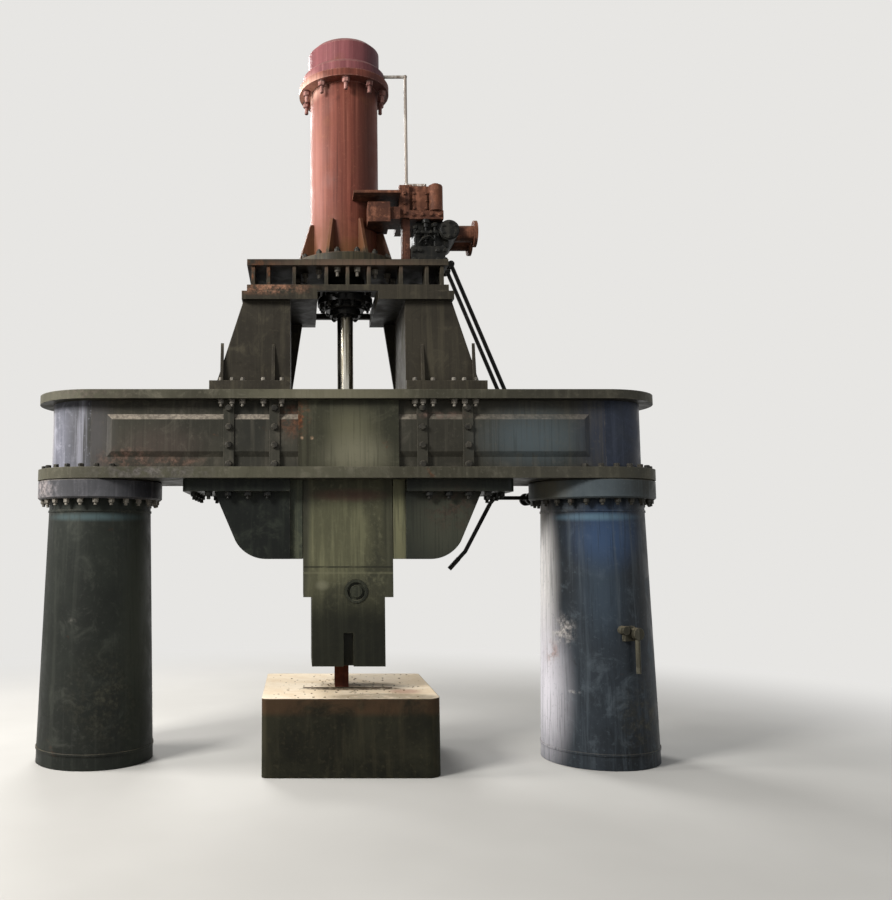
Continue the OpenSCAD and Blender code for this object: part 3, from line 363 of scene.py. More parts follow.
def dusty_block(name):
    """The anvil: a dark block whose top is pale with scale and dust, and painted paler still for the light
    that falls on it.
    """
    n = Nodes(name, rough=0.75, specular=0.1)
    broad = n.noise(2.4, 8, 0.65, None, 0.6)
    grain = n.noise(30, 8, 0.7)
    drips = n.noise(1.0, 6, 0.6, n.stretch(16, 16, 1.4))
    side = n.mix(n.ramp(broad, 0.34, 0.66), (26, 26, 20), (44, 43, 33))
    side = n.mix(n.ramp(grain, 0.5, 0.72, 0.0, 0.5), side, (66, 62, 48))
    side = n.mix(n.ramp(drips, 0.5, 0.68, 0.0, 0.4), side, (62, 58, 44))
    rim = n.times(n.band(2, ANVIL_TOP - 0.11, ANVIL_TOP + 0.05, 0.03), n.ramp(broad, 0.38, 0.58))
    side = n.mix(n.times(rim, 0.5), side, (84, 60, 42))
    # Top colours: dust and scale, made paler still as painted light from above
    top = n.mix(n.ramp(broad, 0.36, 0.62), (220, 200, 170), (232, 217, 193))
    top = n.mix(n.ramp(grain, 0.5, 0.7, 0.0, 0.3), top, (202, 180, 148))
    top = n.mix(n.ramp(n.noise(7, 9, 0.7), 0.66, 0.76, 0.0, 0.6), top, (140, 118, 94))
    stain = n.blob((0.42, -0.3, ANVIL_TOP), (0.16, 0.14, 0.1))
    top = n.mix(n.times(stain, 0.6), top, (170, 128, 112))
    slot = n.blob((0.03, -0.17, ANVIL_TOP), (0.44, 0.09, 0.1), 0.3)
    top = n.mix(n.times(slot, n.ramp(grain, 0.35, 0.55, 0.4, 1.0)), top, (92, 80, 62))
    # A darker band along the front of the top
    front = n.blob((0.26, -0.56, ANVIL_TOP), (0.52, 0.20, 0.1), 0.4)
    darker_front = n.times(front, n.ramp(n.noise(9, 8, 0.7), 0.36, 0.52, 0.35, 1.0))
    top = n.mix(n.times(darker_front, 0.6), top, (110, 98, 76))
    colour = n.mix(n.up(0.5, 0.85), side, top)
    edge = n.times(n.edges(0.016), n.ramp(grain, 0.4, 0.6, 0.2, 1.0))
    colour = n.mix(n.times(edge, 0.5), colour, (120, 108, 84))
    n.bump((grain, 0.5, 0.004), (broad, 0.3, 0.008), bevel=0.014)
    return n.finish(colour, n.ramp(grain, 0.3, 0.7, 0.6, 0.9))


# Bridge
web_paint = old_paint(
    "bridge_paint_plate", (66, 64, 56), (46, 45, 39), (88, 84, 74), dust=0.95, rust=0.12, streak=0.45,
    dust_colour=(156, 146, 132), dust_slope=0.22, dust_fade=(-0.9, 1.6, 1.0, 0.35),
    tint=[((-0.74, -0.40, 2.47), (0.30, 0.4, 0.46), (42, 42, 38), 0.8),
          ((0.74, -0.40, 2.44), (0.34, 0.4, 0.40), (48, 46, 40), 0.7),
          ((-1.45, -0.4, 2.40), (0.50, 0.3, 0.22), (78, 68, 62), 0.55),
          # Painted bluish sheen on the right of the web, then painted shade with a bluish sheen at its
          # right end
          ((1.42, -0.4, 2.46), (0.60, 0.4, 0.34), (82, 92, 96), 0.85),
          ((1.95, -0.3, 2.5), (0.3, 0.6, 0.6), (50, 56, 72), 0.75),
          # Painted light on the left end of the web
          ((-1.95, -0.39, 2.5), (0.22, 0.2, 0.6), (84, 82, 84), 0.6)],
    patches=[((-1.70, -0.39, 2.31), (0.34, 0.2, 0.11), (122, 96, 84), 0.8),
             ((-1.35, -0.39, 2.285), (0.36, 0.2, 0.06), (126, 100, 86), 0.75),
             ((-0.44, -0.39, 2.57), (0.12, 0.2, 0.18), (122, 80, 58), 0.65),
             ((-0.36, -0.39, 2.68), (0.26, 0.2, 0.06), (112, 70, 54), 0.7),
             ((0.72, -0.40, 2.64), (0.36, 0.2, 0.05), (124, 100, 90), 0.7),
             ((-0.50, 0.40, 2.36), (0.25, 0.2, 0.14), (112, 74, 54), 0.6),
             ((1.45, 0.40, 2.30), (0.40, 0.2, 0.08), (116, 86, 68), 0.6)])
flange_paint = old_paint(
    "bridge_paint_flange", (84, 82, 68), (62, 60, 50), (110, 106, 92), rust=0.2, streak=0.3, seed=2.3,
    tint=[((1.6, -0.49, 2.2), (0.9, 0.5, 0.2), (62, 60, 54), 0.7),
          ((1.6, -0.49, 2.79), (1.1, 0.6, 0.2), (52, 50, 44), 0.7),
          ((-0.1, -0.49, 2.79), (0.8, 0.5, 0.2), (112, 108, 90), 0.8)],
    patches=[((-1.5, -0.49, 2.2), (0.7, 0.3, 0.1), (112, 106, 104), 0.6),
             ((-2.0, -0.47, 2.79), (0.5, 0.08, 0.1), (104, 92, 86), 0.5)])
cover_paint = old_paint(
    "bridge_paint_cover", (64, 63, 50), (46, 46, 38), (84, 83, 68), dust=0.5, rust=0.1, seed=5.1,
    tint=[((-0.37, -0.42, 2.48), (0.16, 0.2, 0.5), (48, 46, 37), 0.85),
          ((0.03, -0.42, 2.52), (0.28, 0.2, 0.30), (102, 100, 80), 0.8),
          ((0.06, -0.42, 2.32), (0.38, 0.2, 0.24), (118, 115, 96), 0.85)],
    patches=[((-0.36, -0.42, 2.62), (0.09, 0.2, 0.18), (132, 78, 50), 0.8),
             ((-0.355, -0.42, 2.46), (0.02, 0.1, 0.02), (190, 160, 130), 0.8),
             ((-0.28, -0.42, 2.46), (0.02, 0.1, 0.02), (190, 160, 130), 0.8)])
# Painted light: the left end is pale, with a painted highlight down its outer side; its front part keeps
# the plate's own tone
end_paint_lit_left = old_paint(
    "bridge_paint_end", (110, 110, 120), (78, 80, 86), (150, 150, 160), dust=0.4, rust=0.1, rough=0.45,
    streak=0.8, seed=1.2,
    tint=[((-1.93, -0.38, 2.5), (0.34, 0.34, 0.7), (64, 63, 60), 1.0),
          ((-2.40, -0.12, 2.5), (0.14, 0.3, 0.6), (196, 192, 192), 0.7)])
# Painted shade with a bluish sheen: the right end
end_paint_shaded_right = old_paint(
    "bridge_paint_end_right", (46, 51, 62), (32, 35, 42), (66, 72, 86), dust=0.4, rust=0.1, rough=0.45,
    streak=0.6, seed=7.9)

# Columns
column_paint_left = old_paint(
    "column_paint_left", (44, 47, 42), (32, 34, 31), (62, 64, 58), dust=0.5, rust=0.1, streak=0.35,
    edge=0.3, seed=4.4,
    # Painted shade on the column's left side
    tint=[((-2.40, -0.2, 1.1), (0.30, 0.5, 1.6), (30, 32, 28), 0.9),
          ((-1.60, -0.3, 1.1), (0.18, 0.4, 1.6), (62, 65, 56), 0.9),
          # Painted highlight: a teal band just under the head
          ((-1.92, -0.36, 1.86), (0.56, 0.4, 0.045), (74, 90, 92), 0.8)],
    patches=[((-1.75, -0.40, 0.5), (0.5, 0.4, 0.5), (70, 69, 58), 0.6),
             ((-2.08, -0.44, 1.08), (0.05, 0.1, 0.04), (120, 118, 110), 0.8)])
column_paint_right = old_paint(
    "column_paint_right", (52, 58, 64), (36, 39, 42), (84, 92, 98), dust=0.5, rust=0.1, rough=0.44,
    streak=0.55, edge=0.3, seed=9.2,
    # Painted highlight: a pale strip up the left side of the column, in two places
    tint=[((1.53, 0.02, 1.40), (0.20, 0.36, 1.00), (250, 246, 243), 0.97),
          ((1.53, 0.00, 0.55), (0.29, 0.50, 0.85), (238, 234, 240), 0.97),
          ((1.90, -0.45, 1.35), (0.28, 0.3, 0.60), (66, 78, 90), 0.7),
          ((1.95, -0.40, 1.72), (0.42, 0.3, 0.34), (62, 82, 112), 0.8),
          # Painted highlight: a teal band just under the head
          ((1.88, -0.38, 1.86), (0.44, 0.4, 0.045), (96, 122, 138), 0.8)],
    # The first patch widens the painted highlight strip
    patches=[((1.62, -0.27, 1.00), (0.13, 0.2, 0.17), (206, 200, 194), 0.8),
             ((1.57, -0.20, 0.82), (0.06, 0.2, 0.14), (168, 118, 92), 0.7),
             ((1.69, -0.34, 0.55), (0.05, 0.2, 0.02), (224, 220, 216), 0.9),
             ((2.20, -0.40, 0.35), (0.30, 0.4, 0.4), (78, 74, 60), 0.6)])
head_paint_left = old_paint(
    "column_paint_head", (90, 90, 93), (62, 62, 64), (114, 112, 116), dust=0.5, rust=0.15, rough=0.46,
    seed=6.6,
    # Painted shade on the head's right side, then a painted highlight on its left side
    tint=[((-1.55, -0.3, 2.1), (0.30, 0.5, 0.3), (34, 34, 38), 0.9)],
    patches=[((-2.42, -0.2, 2.08), (0.34, 0.5, 0.2), (168, 158, 156), 0.85)])
head_paint_right = old_paint(
    "column_paint_head_right", (94, 102, 106), (68, 76, 80), (96, 104, 106), dust=0.5, rust=0.15,
    rough=0.46, streak=0.4, edge=0.2, seed=6.6,
    # Painted light on the head's left side and painted shade on its right side
    tint=[((1.52, -0.35, 2.1), (0.22, 0.5, 0.3), (104, 100, 86), 0.9),
          ((2.26, -0.3, 2.1), (0.40, 0.5, 0.3), (38, 38, 32), 0.95)])
cleat_paint = old_paint(
    "column_paint_cleat", (72, 69, 56), (46, 44, 38), (124, 120, 104), dust=0.5, rust=0.2, edge=0.7,
    seed=4.9)

# Guides, ram and anvil
cheek_paint = old_paint(
    "cheek_paint_plate", (37, 40, 36), (26, 28, 26), (54, 58, 50), dust=0.4, rust=0.1, rough=0.42,
    streak=0.4, edge=0.35, seed=3.7,
    tint=[((0.75, -0.32, 1.8), (0.5, 0.3, 0.5), (72, 73, 62), 0.85)],
    patches=[((0.80, -0.32, 1.95), (0.34, 0.2, 0.3), (76, 58, 50), 0.6)])
rail_paint = old_paint(
    "cheek_paint_rail", (62, 66, 56), (40, 43, 38), (92, 94, 76), dust=0.3, rust=0.05, rough=0.35,
    streak=0.9, edge=0.5, seed=8.8,
    tint=[((0.45, -0.3, 1.85), (0.35, 0.6, 0.9), (122, 120, 92), 0.9)])
ram_steel = casting(
    "ram_steel_body", (80, 79, 61), (54, 54, 44), (106, 105, 83), rough=0.5, oil=0.6, bumpy=0.3, dust=0.4,
    seed=2.2,
    fields=[((0.0, 0.0, 0.70), (1.2, 1.2, 0.72), (24, 25, 20), 0.93),
            ((-0.08, -0.28, 1.70), (0.34, 0.2, 0.42), (96, 95, 73), 0.6),
            ((-0.36, -0.28, 1.9), (0.09, 0.3, 1.0), (50, 50, 42), 0.8),
            ((0.36, -0.28, 1.9), (0.12, 0.3, 1.0), (52, 52, 42), 0.8),
            ((0.06, -0.28, 1.295), (0.098, 0.1, 0.098), (18, 18, 15), 1.0)],
    lines=[(1.479, 0.007, (34, 34, 28), 0.75), (1.434, 0.008, (112, 110, 88), 0.45)],
    patches=[((0.0, -0.28, 2.03), (0.40, 0.2, 0.07), (84, 62, 54), 0.8),
             ((-0.20, -0.28, 1.34), (0.07, 0.1, 0.05), (120, 118, 98), 0.6)])
plug_steel = casting(
    "ram_steel_plug", (50, 52, 42), (24, 25, 22), (84, 84, 70), rough=0.5, oil=0.5, bumpy=0.4, seed=3.1)
rod_steel = steel("bright_steel_rod", (196, 192, 182), (104, 98, 84), rough=0.24)
prop_iron = casting(
    "prop_rust_post", (76, 38, 26), (42, 22, 16), (106, 60, 42), rough=0.7, oil=0.4, dust=0.3, seed=6.2)
anvil_steel = dusty_block("anvil_steel_dusty")
scale_iron = casting(
    "forge_scale", (128, 110, 86), (84, 70, 56), (168, 148, 116), rough=0.7, oil=0.2, bumpy=0.3, dust=0.2,
    seed=8.3)

# Stand, cylinder and steam side
stand_paint = old_paint(
    "pedestal_paint_plate", (56, 52, 44), (38, 35, 30), (78, 73, 60), dust=0.55, rust=0.2, streak=0.6,
    seed=1.9,
    # Painted light: a lighter band on the ribs between the plates, which lie in shade
    tint=[((0.0, -0.45, 3.80), (0.95, 0.3, 0.09), (104, 84, 70), 0.7)],
    patches=[((-0.72, -0.46, 3.72), (0.30, 0.4, 0.18), (136, 84, 52), 0.85),
             ((-0.60, -0.46, 3.62), (0.46, 0.4, 0.07), (166, 122, 98), 0.9),
             ((0.0, -0.4, 3.9), (0.45, 0.4, 0.1), (92, 82, 62), 0.5)])
cylinder_red = red_oxide(
    "red_oxide_primer", (124, 70, 58), (94, 52, 43), (162, 102, 84),
    # Painted light and shade: lighter on the cylinder's left and darker on its right, then a painted
    # highlight on the left of the top flange and painted shade on its right
    fields=[((-0.29, -0.15, 4.75), (0.19, 0.26, 1.3), (162, 111, 100), 0.95),
            ((0.20, -0.20, 4.7), (0.20, 0.2, 1.0), (84, 50, 42), 0.7),
            ((-0.42, -0.12, 5.38), (0.34, 0.6, 0.13), (240, 196, 176), 0.97),
            ((0.34, -0.2, 5.38), (0.36, 0.5, 0.12), (60, 38, 38), 0.85)])
foot_red = red_oxide(
    "pedestal_paint_foot", (104, 66, 52), (76, 48, 38), (132, 92, 74), seed=1.7, olive_to=TABLE_TOP + 0.085)
cap_red = red_oxide(
    "red_oxide_primer_cap", (136, 82, 84), (108, 63, 65), (164, 112, 110), seed=3.3,
    # The first place is a painted highlight on the cap's left, the last painted shade on its right
    fields=[((-0.40, -0.05, 5.42), (0.26, 0.5, 0.16), (232, 186, 170), 0.97),
            ((-0.26, 0.0, 5.66), (0.18, 0.4, 0.20), (108, 62, 64), 0.85),
            ((0.32, -0.1, 5.6), (0.30, 0.4, 0.4), (66, 42, 52), 0.9)])
chest_iron = casting(
    "rusty_casting_body", (122, 78, 58), (66, 42, 34), (160, 108, 84), rough=0.7, oil=0.4, dust=0.4,
    rust=0.2, seed=7.0)
black_iron = casting(
    "black_fittings_iron", (32, 32, 30), (14, 14, 14), (64, 62, 56), rough=0.42, oil=0.5, bumpy=0.4,
    dust=0.35, seed=5.5)
pipe_metal = steel("pipe_metal_tube", (186, 180, 172), (120, 108, 98), rough=0.42, metal=0.6)

# Bolts and nuts
bolt_iron = casting(
    "bolt_iron", (54, 52, 47), (30, 29, 27), (92, 88, 78), rough=0.5, bumpy=0.3, rust=0.25, seed=1.1)
nut_primed = casting(
    "nut_primed", (150, 104, 96), (84, 50, 46), (196, 158, 148), rough=0.6, bumpy=0.3, dust=0.3, seed=2.6)
nut_worn = casting(
    "nut_worn", (124, 118, 108), (70, 66, 60), (174, 168, 156), rough=0.45, bumpy=0.3, dust=0.3, seed=1.6)

# Which material each CAD node wears: its own one, or else that of its slot
NODE_LOOKS = {
    "column_left": column_paint_left, "column_right": column_paint_right, "column_cleat": cleat_paint,
    "column_head_left": head_paint_left, "column_head_right": head_paint_right,
    "cylinder_cap": cap_red, "cap_flange": cap_red, "cylinder_foot": foot_red,
    "bridge_bottom_flange": flange_paint, "bridge_top_flange": flange_paint,
    "bridge_end_left": end_paint_lit_left, "bridge_end_right": end_paint_shaded_right,
    "shaft_cover_front": cover_paint, "shaft_cover_rear": cover_paint,
    "guide_rail_left": rail_paint, "guide_rail_right": rail_paint,
    "ram_plug": plug_steel,
}
SLOT_LOOKS = {
    "bridge_paint": web_paint, "column_paint": column_paint_left, "cheek_paint": cheek_paint,
    "ram_steel": ram_steel, "bright_steel": rod_steel, "anvil_steel": anvil_steel, "prop_rust": prop_iron,
    "pedestal_paint": stand_paint, "red_oxide": cylinder_red, "rusty_casting": chest_iron,
    "black_fittings": black_iron, "pipe_metal": pipe_metal,
}
for part in frame["record"]["subparts"]:
    node = frame["nodes"][part["node"]]
    node.data.materials.clear()
    node.data.materials.append(NODE_LOOKS.get(part["node"], SLOT_LOOKS[part["material_slot"]]))


# Small solids
def ring_faces(bm, low, high):
    count = len(low)
    for i in range(count):
        j = (i + 1) % count
        bm.faces.new((low[i], low[j], high[j], high[i]))


def close_rings(bm, rings):
    """Faces between the rings and over both ends."""
    for low, high in zip(rings, rings[1:]):
        ring_faces(bm, low, high)
    bm.faces.new(list(reversed(rings[0])))
    bm.faces.new(rings[-1])


def around(radius, angle, height=0.0):
    return Vector((radius * math.cos(angle), radius * math.sin(angle), height))


def turned(bm, profile, sides, at):
    """A closed turned solid. The profile is (radius, height) from bottom to top along local +Z of at."""
    angles = [math.tau * i / sides for i in range(sides)]
    rings = []
    for radius, height in profile:
        rings.append([bm.verts.new(at @ around(radius, a, height)) for a in angles])
    close_rings(bm, rings)


def facing(place, axis, spin=0.0):
    """Matrix that puts local +Z along axis at place."""
    turn = axis.to_track_quat("Z", "Y").to_matrix().to_4x4()
    return Matrix.Translation(place) @ turn @ Matrix.Rotation(spin, 4, "Z")


def hexagon(bm, at, across, height):
    r = across / math.sqrt(3)
    turned(bm, [(r * 0.93, 0), (r, height * 0.08), (r, height * 0.84), (r * 0.86, height)], 6, at)


def washer(bm, at, radius, height):
    turned(bm, [(radius, 0), (radius, height * 0.75), (radius * 0.95, height)], 20, at)


def stud_end(bm, at, radius, start, end):
    """The threaded end of a stud, from start to end along local +Z."""
    pitch = 0.006
    profile = [(radius, start)]
    z = start
    while z + pitch < end - pitch:
        profile += [(radius * 0.88, z + pitch * 0.5), (radius, z + pitch)]
        z += pitch
    profile += [(radius, end - 0.004), (radius * 0.75, end)]
    turned(bm, profile, 12, at)


turns = random.Random(7)


def bolt(bm, place, axis, across, height, plate=0.005, reach=None):
    """A hexagon on a washer as thick as plate, turned at random. With a reach, a stud stands out of it."""
    at = facing(place, axis, turns.uniform(0, math.pi / 3))
    washer(bm, at, across * 0.62, plate)
    hexagon(bm, at @ Matrix.Translation((0, 0, plate)), across, height)
    if reach:
        stud_end(bm, at, across * 0.31, plate + height * 0.5, reach)


def tube(bm, points, radius, sides=12):
    """A closed round bar along a path."""
    rings = []
    for i, p in enumerate(points):
        before, after = points[max(i - 1, 0)], points[min(i + 1, len(points) - 1)]
        at = facing(p, (after - before).normalized())
        ring = [bm.verts.new(at @ around(radius, math.tau * k / sides)) for k in range(sides)]
        if rings:
            # Rings are matched by their nearest corner, so that the bar doesn't twist
            first = rings[-1][0].co
            start = min(range(sides), key=lambda k: (ring[k].co - first).length)
            ring = ring[start:] + ring[:start]
        rings.append(ring)
    close_rings(bm, rings)


def slab(bm, low, high, bevel):
    """A box with small bevels on every edge."""
    low, high = Vector(low), Vector(high)
    size = high - low
    verts = bmesh.ops.create_cube(bm, size=1.0)["verts"]
    bmesh.ops.scale(bm, vec=size, verts=verts)
    bmesh.ops.translate(bm, vec=(low + high) / 2, verts=verts)
    # Each edge once, always in the same order
    edges = list(dict.fromkeys(e for v in verts for e in v.link_edges))
    offset = min(bevel, min(size) * 0.3)
    bmesh.ops.bevel(bm, geom=edges, offset=offset, segments=2, affect="EDGES", profile=0.5)


def weld(bm, x0, x1, y, z, width, out, seed):
    """A weld bead along x: a low rippled ridge that faces out."""
    ripple = random.Random(seed)
    a, b, out = Vector((x0, y, z)), Vector((x1, y, z)), Vector(out).normalized()
    run = b - a
    steps = max(int(run.length / 0.012), 2)
    side = run.normalized().cross(out).normalized()
    rings = []
    for i in range(steps + 1):
        p = a + run * i / steps
        r = width * (0.86 + 0.14 * (i % 2) + ripple.uniform(-0.06, 0.06))
        section = ((-1, -0.3), (-0.72, 0.34), (0, 0.62), (0.72, 0.34), (1, -0.3))
        rings.append([bm.verts.new(p + side * r * u + out * r * v) for u, v in section])
    close_rings(bm, rings)


def piece(name, bm, material, body, smooth=False):
    """Ends a mesh and hangs it on its body."""
    mesh = bpy.data.meshes.new(name)
    bmesh.ops.recalc_face_normals(bm, faces=bm.faces)
    bm.to_mesh(mesh)
    bm.free()
    mesh.materials.append(material)
    obj = bpy.data.objects.new(name, mesh)
    scene.collection.objects.link(obj)
    if smooth:
        for f in mesh.polygons:
            f.use_smooth = True
        mesh.set_sharp_from_angle(angle=math.radians(32))
    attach(obj, body)


def circle(count, radius, first, z, x=0.0):
    """Places on a level bolt circle round the upright through x, with the first angle in degrees."""
    angles = [math.radians(first + 360 / count * i) for i in range(count)]
    return [Vector((x, 0, z)) + around(radius, a) for a in angles]


# Columns
def column_fasteners(side, label, nut_material):
    """Nuts under a head ring, and bolt heads on the bottom flange where no web stands over them."""
    bolt_r, web_half = 0.445, 0.41
    bolts, nuts = bmesh.new(), bmesh.new()
    for place in circle(24, bolt_r, 7.5, 0, side * COLUMN_X):
        bolt(nuts, place + Z * COLUMN_TOP, -Z, across=0.040, height=0.028, reach=0.052)
        if side * (place.x - side * COLUMN_X) > 0 or abs(place.y) > web_half:
            bolt(bolts, place + Z * WEB_Z, Z, across=0.040, height=0.024)
    piece("column_bolts_" + label, bolts, bolt_iron, "frame")
    piece("column_nuts_" + label, nuts, nut_material, "frame")


column_fasteners(-1, "left", nut_worn)
# The right column's nuts take the dark bolt iron as painted shade, since they sit in shade
column_fasteners(1, "right", bolt_iron)


# Bridge
def splice_bolts():
    bm = bmesh.new()
    for face in BOTH:
        for x in (-0.915, -0.565, 0.565, 0.915):
            for rise in (0.025, 0.17, 0.31, 0.455):
                place = Vector((x, -face * STRIP_Y, WEB_Z + rise))
                bolt(bm, place, Y * face, across=0.046, height=0.022, plate=0.004)
    piece("splice_bolts", bm, bolt_iron, "frame")


def foot_bolts():
    """Bolt heads on the stand's foot plates and their nuts under the top flange, with one nut more on
    the right."""
    bolt_y, extra_x = 0.434, 0.57
    bm = bmesh.new()
    for face in BOTH:
        for side in BOTH:
            for x in (0.51, 0.65, 0.81, 0.89, 0.975):
                place = Vector((side * x, face * bolt_y, 0))
                bolt(bm, place + Z * TOP_FLANGE_Z, -Z, across=0.040, height=0.028, reach=0.056)
                bolt(bm, place + Z * FOOT_TOP, Z, across=0.030, height=0.020, plate=0.004)
        extra = Vector((extra_x, face * bolt_y, TOP_FLANGE_Z))
        bolt(bm, extra, -Z, across=0.040, height=0.028, reach=0.056)
    piece("foot_bolts", bm, nut_worn, "frame")


def cheek_bolts():
    """Nuts under the flanges of the two cheeks: two rows along x and one row across the outer end."""
    row_y, end_x = 0.352, 1.19
    under = BRIDGE_Z - CHEEK_FLANGE_T
    bm = bmesh.new()
    for side in BOTH:
        places = [(x, y * row_y) for x in (0.62, 0.77, 0.92, 1.07) for y in BOTH]
        places += [(end_x, y) for y in (-0.27, -0.09, 0.09, 0.27)]
        for x, y in places:
            bolt(bm, Vector((side * x, y, under)), -Z, across=0.05, height=0.03, reach=0.06)
    piece("cheek_bolts", bm, black_iron, "frame")


def weld_beads():
    """Beads over the foot plates, under the head plates and along the webs' lower edges."""
    plate_y, web_y, rise = 0.4, 0.387, 0.001
    bm = bmesh.new()
    for face in BOTH:
        over, under = (0, face, 1), (0, face, -1)
        for side in BOTH:
            weld(bm, side * 0.445, side * 1.0, face * (plate_y + rise), FOOT_TOP + rise, 0.009, over, 3)
        for side in BOTH:
            weld(bm, side * 0.46, side * 0.80, face * plate_y, HEAD_PLATE_Z - rise, 0.008, under, 5)
        weld(bm, -1.9, -0.97, face * web_y, WEB_Z, 0.009, over, 11)
        weld(bm, 0.97, 1.9, face * web_y, WEB_Z, 0.009, over, 12)
    piece("weld_beads", bm, stand_paint, "frame", smooth=True)


splice_bolts()
foot_bolts()
cheek_bolts()
weld_beads()


# Cylinder and gland
def cylinder_foot_fasteners():
    """Studs on the cylinder's foot and their nuts under the upper plate."""
    foot_flange_t = 0.075
    studs, nuts = bmesh.new(), bmesh.new()
    for place in circle(16, 0.395, 11.25, 0):
        bolt(studs, place + Z * (TABLE_TOP + foot_flange_t), Z, across=0.042, height=0.028, reach=0.046)
        bolt(nuts, place + Z * UPPER_PLATE_Z, -Z, across=0.046, height=0.03, reach=0.07)
    piece("cylinder_foot_studs", studs, bolt_iron, "frame")
    piece("cylinder_foot_nuts", nuts, nut_worn, "frame")


def cap_studs():
    """Long studs that hang under the cylinder's top flange."""
    top_flange_t = 0.06
    bm = bmesh.new()
    for place in circle(10, 0.330, -90, CYLINDER_TOP - top_flange_t):
        bolt(bm, place, -Z, across=0.052, height=0.036, reach=0.100)
    piece("cap_studs", bm, nut_primed, "frame")


def gland_nuts():
    """Nuts under the follower and round the housing, under the lower plate."""
    follower_flange_t = 0.030
    bm = bmesh.new()
    for place in circle(6, 0.100, 30, FOLLOWER_Z + follower_flange_t):
        bolt(bm, place, -Z, across=0.036, height=0.020, reach=0.028, plate=0.003)
    for place in circle(12, 0.195, 15, LOWER_PLATE_Z):
        bolt(bm, place, -Z, across=0.036, height=0.024, reach=0.045, plate=0.003)
    piece("gland_nuts", bm, black_iron, "frame")


cylinder_foot_fasteners()
cap_studs()
gland_nuts()

# Steam side: the faces of the chest and of its narrow covers, and the front end of the valve shaft
CHEST_FRONT, CHEST_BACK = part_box("steam_chest")[0].y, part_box("steam_chest")[1].y
COVER_FRONT = CHEST_FRONT + 0.008
CHEST_LOW = CHEST_TOP - 0.28
SHAFT_Z = TABLE_TOP + 0.285
SHAFT_FRONT = Vector((0.815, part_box("valve_housing")[0].y, SHAFT_Z))


def chest_bolts():
    bm = bmesh.new()
    for x in (0.537, 0.634):
        for rise in (0.09, 0.151, 0.212):
            place = Vector((x, COVER_FRONT, CHEST_LOW + rise))
            bolt(bm, place, -Y, across=0.018, height=0.010, plate=0.002)
    for x in (0.53, 0.60, 0.67, 0.74):
        for y, axis in ((CHEST_FRONT, -Y), (CHEST_BACK, Y)):
            bolt(bm, Vector((x, y, CHEST_LOW + 0.035)), axis, across=0.026, height=0.014, plate=0.003)
    for rise in (0.05, 0.13, 0.21):
        for y, axis in ((CHEST_FRONT, -Y), (CHEST_BACK, Y)):
            bolt(bm, Vector((0.46, y, CHEST_LOW + rise)), axis, across=0.028, height=0.014, plate=0.003)
    for x, y in ((0.52, -0.27), (0.52, 0.05), (0.64, 0.05), (0.75, 0.05), (0.75, -0.1)):
        bolt(bm, Vector((x, y, CHEST_TOP)), Z, across=0.028, height=0.016, plate=0.003)
    piece("chest_bolts", bm, chest_iron, "frame")


def valve_links():
    """Valve stem, links and cocks in front of and under the chest."""
    stem = Vector((0.632, -0.30, TABLE_TOP))
    bm = bmesh.new()
    tube(bm, [stem + Z * 0.17, stem + Z * 0.372], 0.012)
    gland = facing(Vector((stem.x, stem.y, CHEST_LOW + 0.001)), -Z)
    turned(bm, [(0.034, 0), (0.034, 0.03), (0.022, 0.034), (0.022, 0.062)], 16, gland)
    turned(bm, [(0.026, 0), (0.026, 0.04)], 6, facing(stem + Z * 0.21, Z))
    for x, reach in ((0.545, 0.31), (0.70, 0.33)):
        foot = Vector((x, -0.315, TABLE_TOP))
        tube(bm, [foot + Z * 0.15, foot + Z * reach], 0.010)
        nut = facing(foot + Z * (reach - 0.02), Z)
        turned(bm, [(0.022, 0), (0.024, 0.004), (0.024, 0.026), (0.018, 0.03)], 6, nut)
    slab(bm, (0.53, CHEST_FRONT, TABLE_TOP + 0.25), (0.72, -0.305, TABLE_TOP + 0.275), 0.003)
    for x in (0.565, 0.60, 0.665, 0.70):
        place = Vector((x, CHEST_FRONT, TABLE_TOP + 0.262))
        bolt(bm, place, -Y, across=0.022, height=0.012, plate=0.002)
    bend = ((0.575, -0.31, 0.18), (0.60, -0.345, 0.21), (0.655, -0.352, 0.225), (0.69, -0.33, 0.20))
    tube(bm, [Vector((x, y, TABLE_TOP + rise)) for x, y, rise in bend], 0.008)
    piece("valve_links", bm, black_iron, "frame", smooth=True)


def drain_pipe():
    """The cock on the chest with its short slanted pipe."""
    cock = Vector((0.505, -0.11, CHEST_TOP))
    bm = bmesh.new()
    tube(bm, [cock + Vector((0, -0.005, 0.085)), cock + Vector((0.13, -0.175, 0.015))], 0.012)
    socket = facing(cock + Z * 0.001, Z)
    turned(bm, [(0.024, 0), (0.024, 0.02), (0.016, 0.024), (0.016, 0.04)], 12, socket)
    turned(bm, [(0.021, -0.012), (0.021, 0.012)], 12, facing(cock + Z * 0.085, Z))
    piece("drain_pipe", bm, pipe_metal, "frame", smooth=True)


def housing_bolts():
    """Bolts on the valve housing's foot and the round cover over its shaft."""
    bm = bmesh.new()
    for y in (-0.28, 0.06):
        for x in (0.54, 0.66, 0.77):
            bolt(bm, Vector((x, y, TABLE_TOP + 0.15)), Z, across=0.032, height=0.018, plate=0.003)
    for x in (0.53, 0.58, 0.72, 0.78):
        for rise in (0.04, 0.115):
            place = Vector((x, SHAFT_FRONT.y, TABLE_TOP + rise))
            bolt(bm, place, -Y, across=0.03, height=0.016, plate=0.003)
    turned(bm, [(0.074, 0), (0.074, 0.012), (0.066, 0.016)], 32, facing(SHAFT_FRONT, -Y))
    for i in range(6):
        out = around(0.056, math.radians(60 * i + 30))
        place = SHAFT_FRONT + Vector((out.x, -0.016, out.y))
        bolt(bm, place, -Y, across=0.018, height=0.010, plate=0.002)
    piece("housing_bolts", bm, black_iron, "frame")


chest_bolts()
valve_links()
drain_pipe()
housing_bolts()


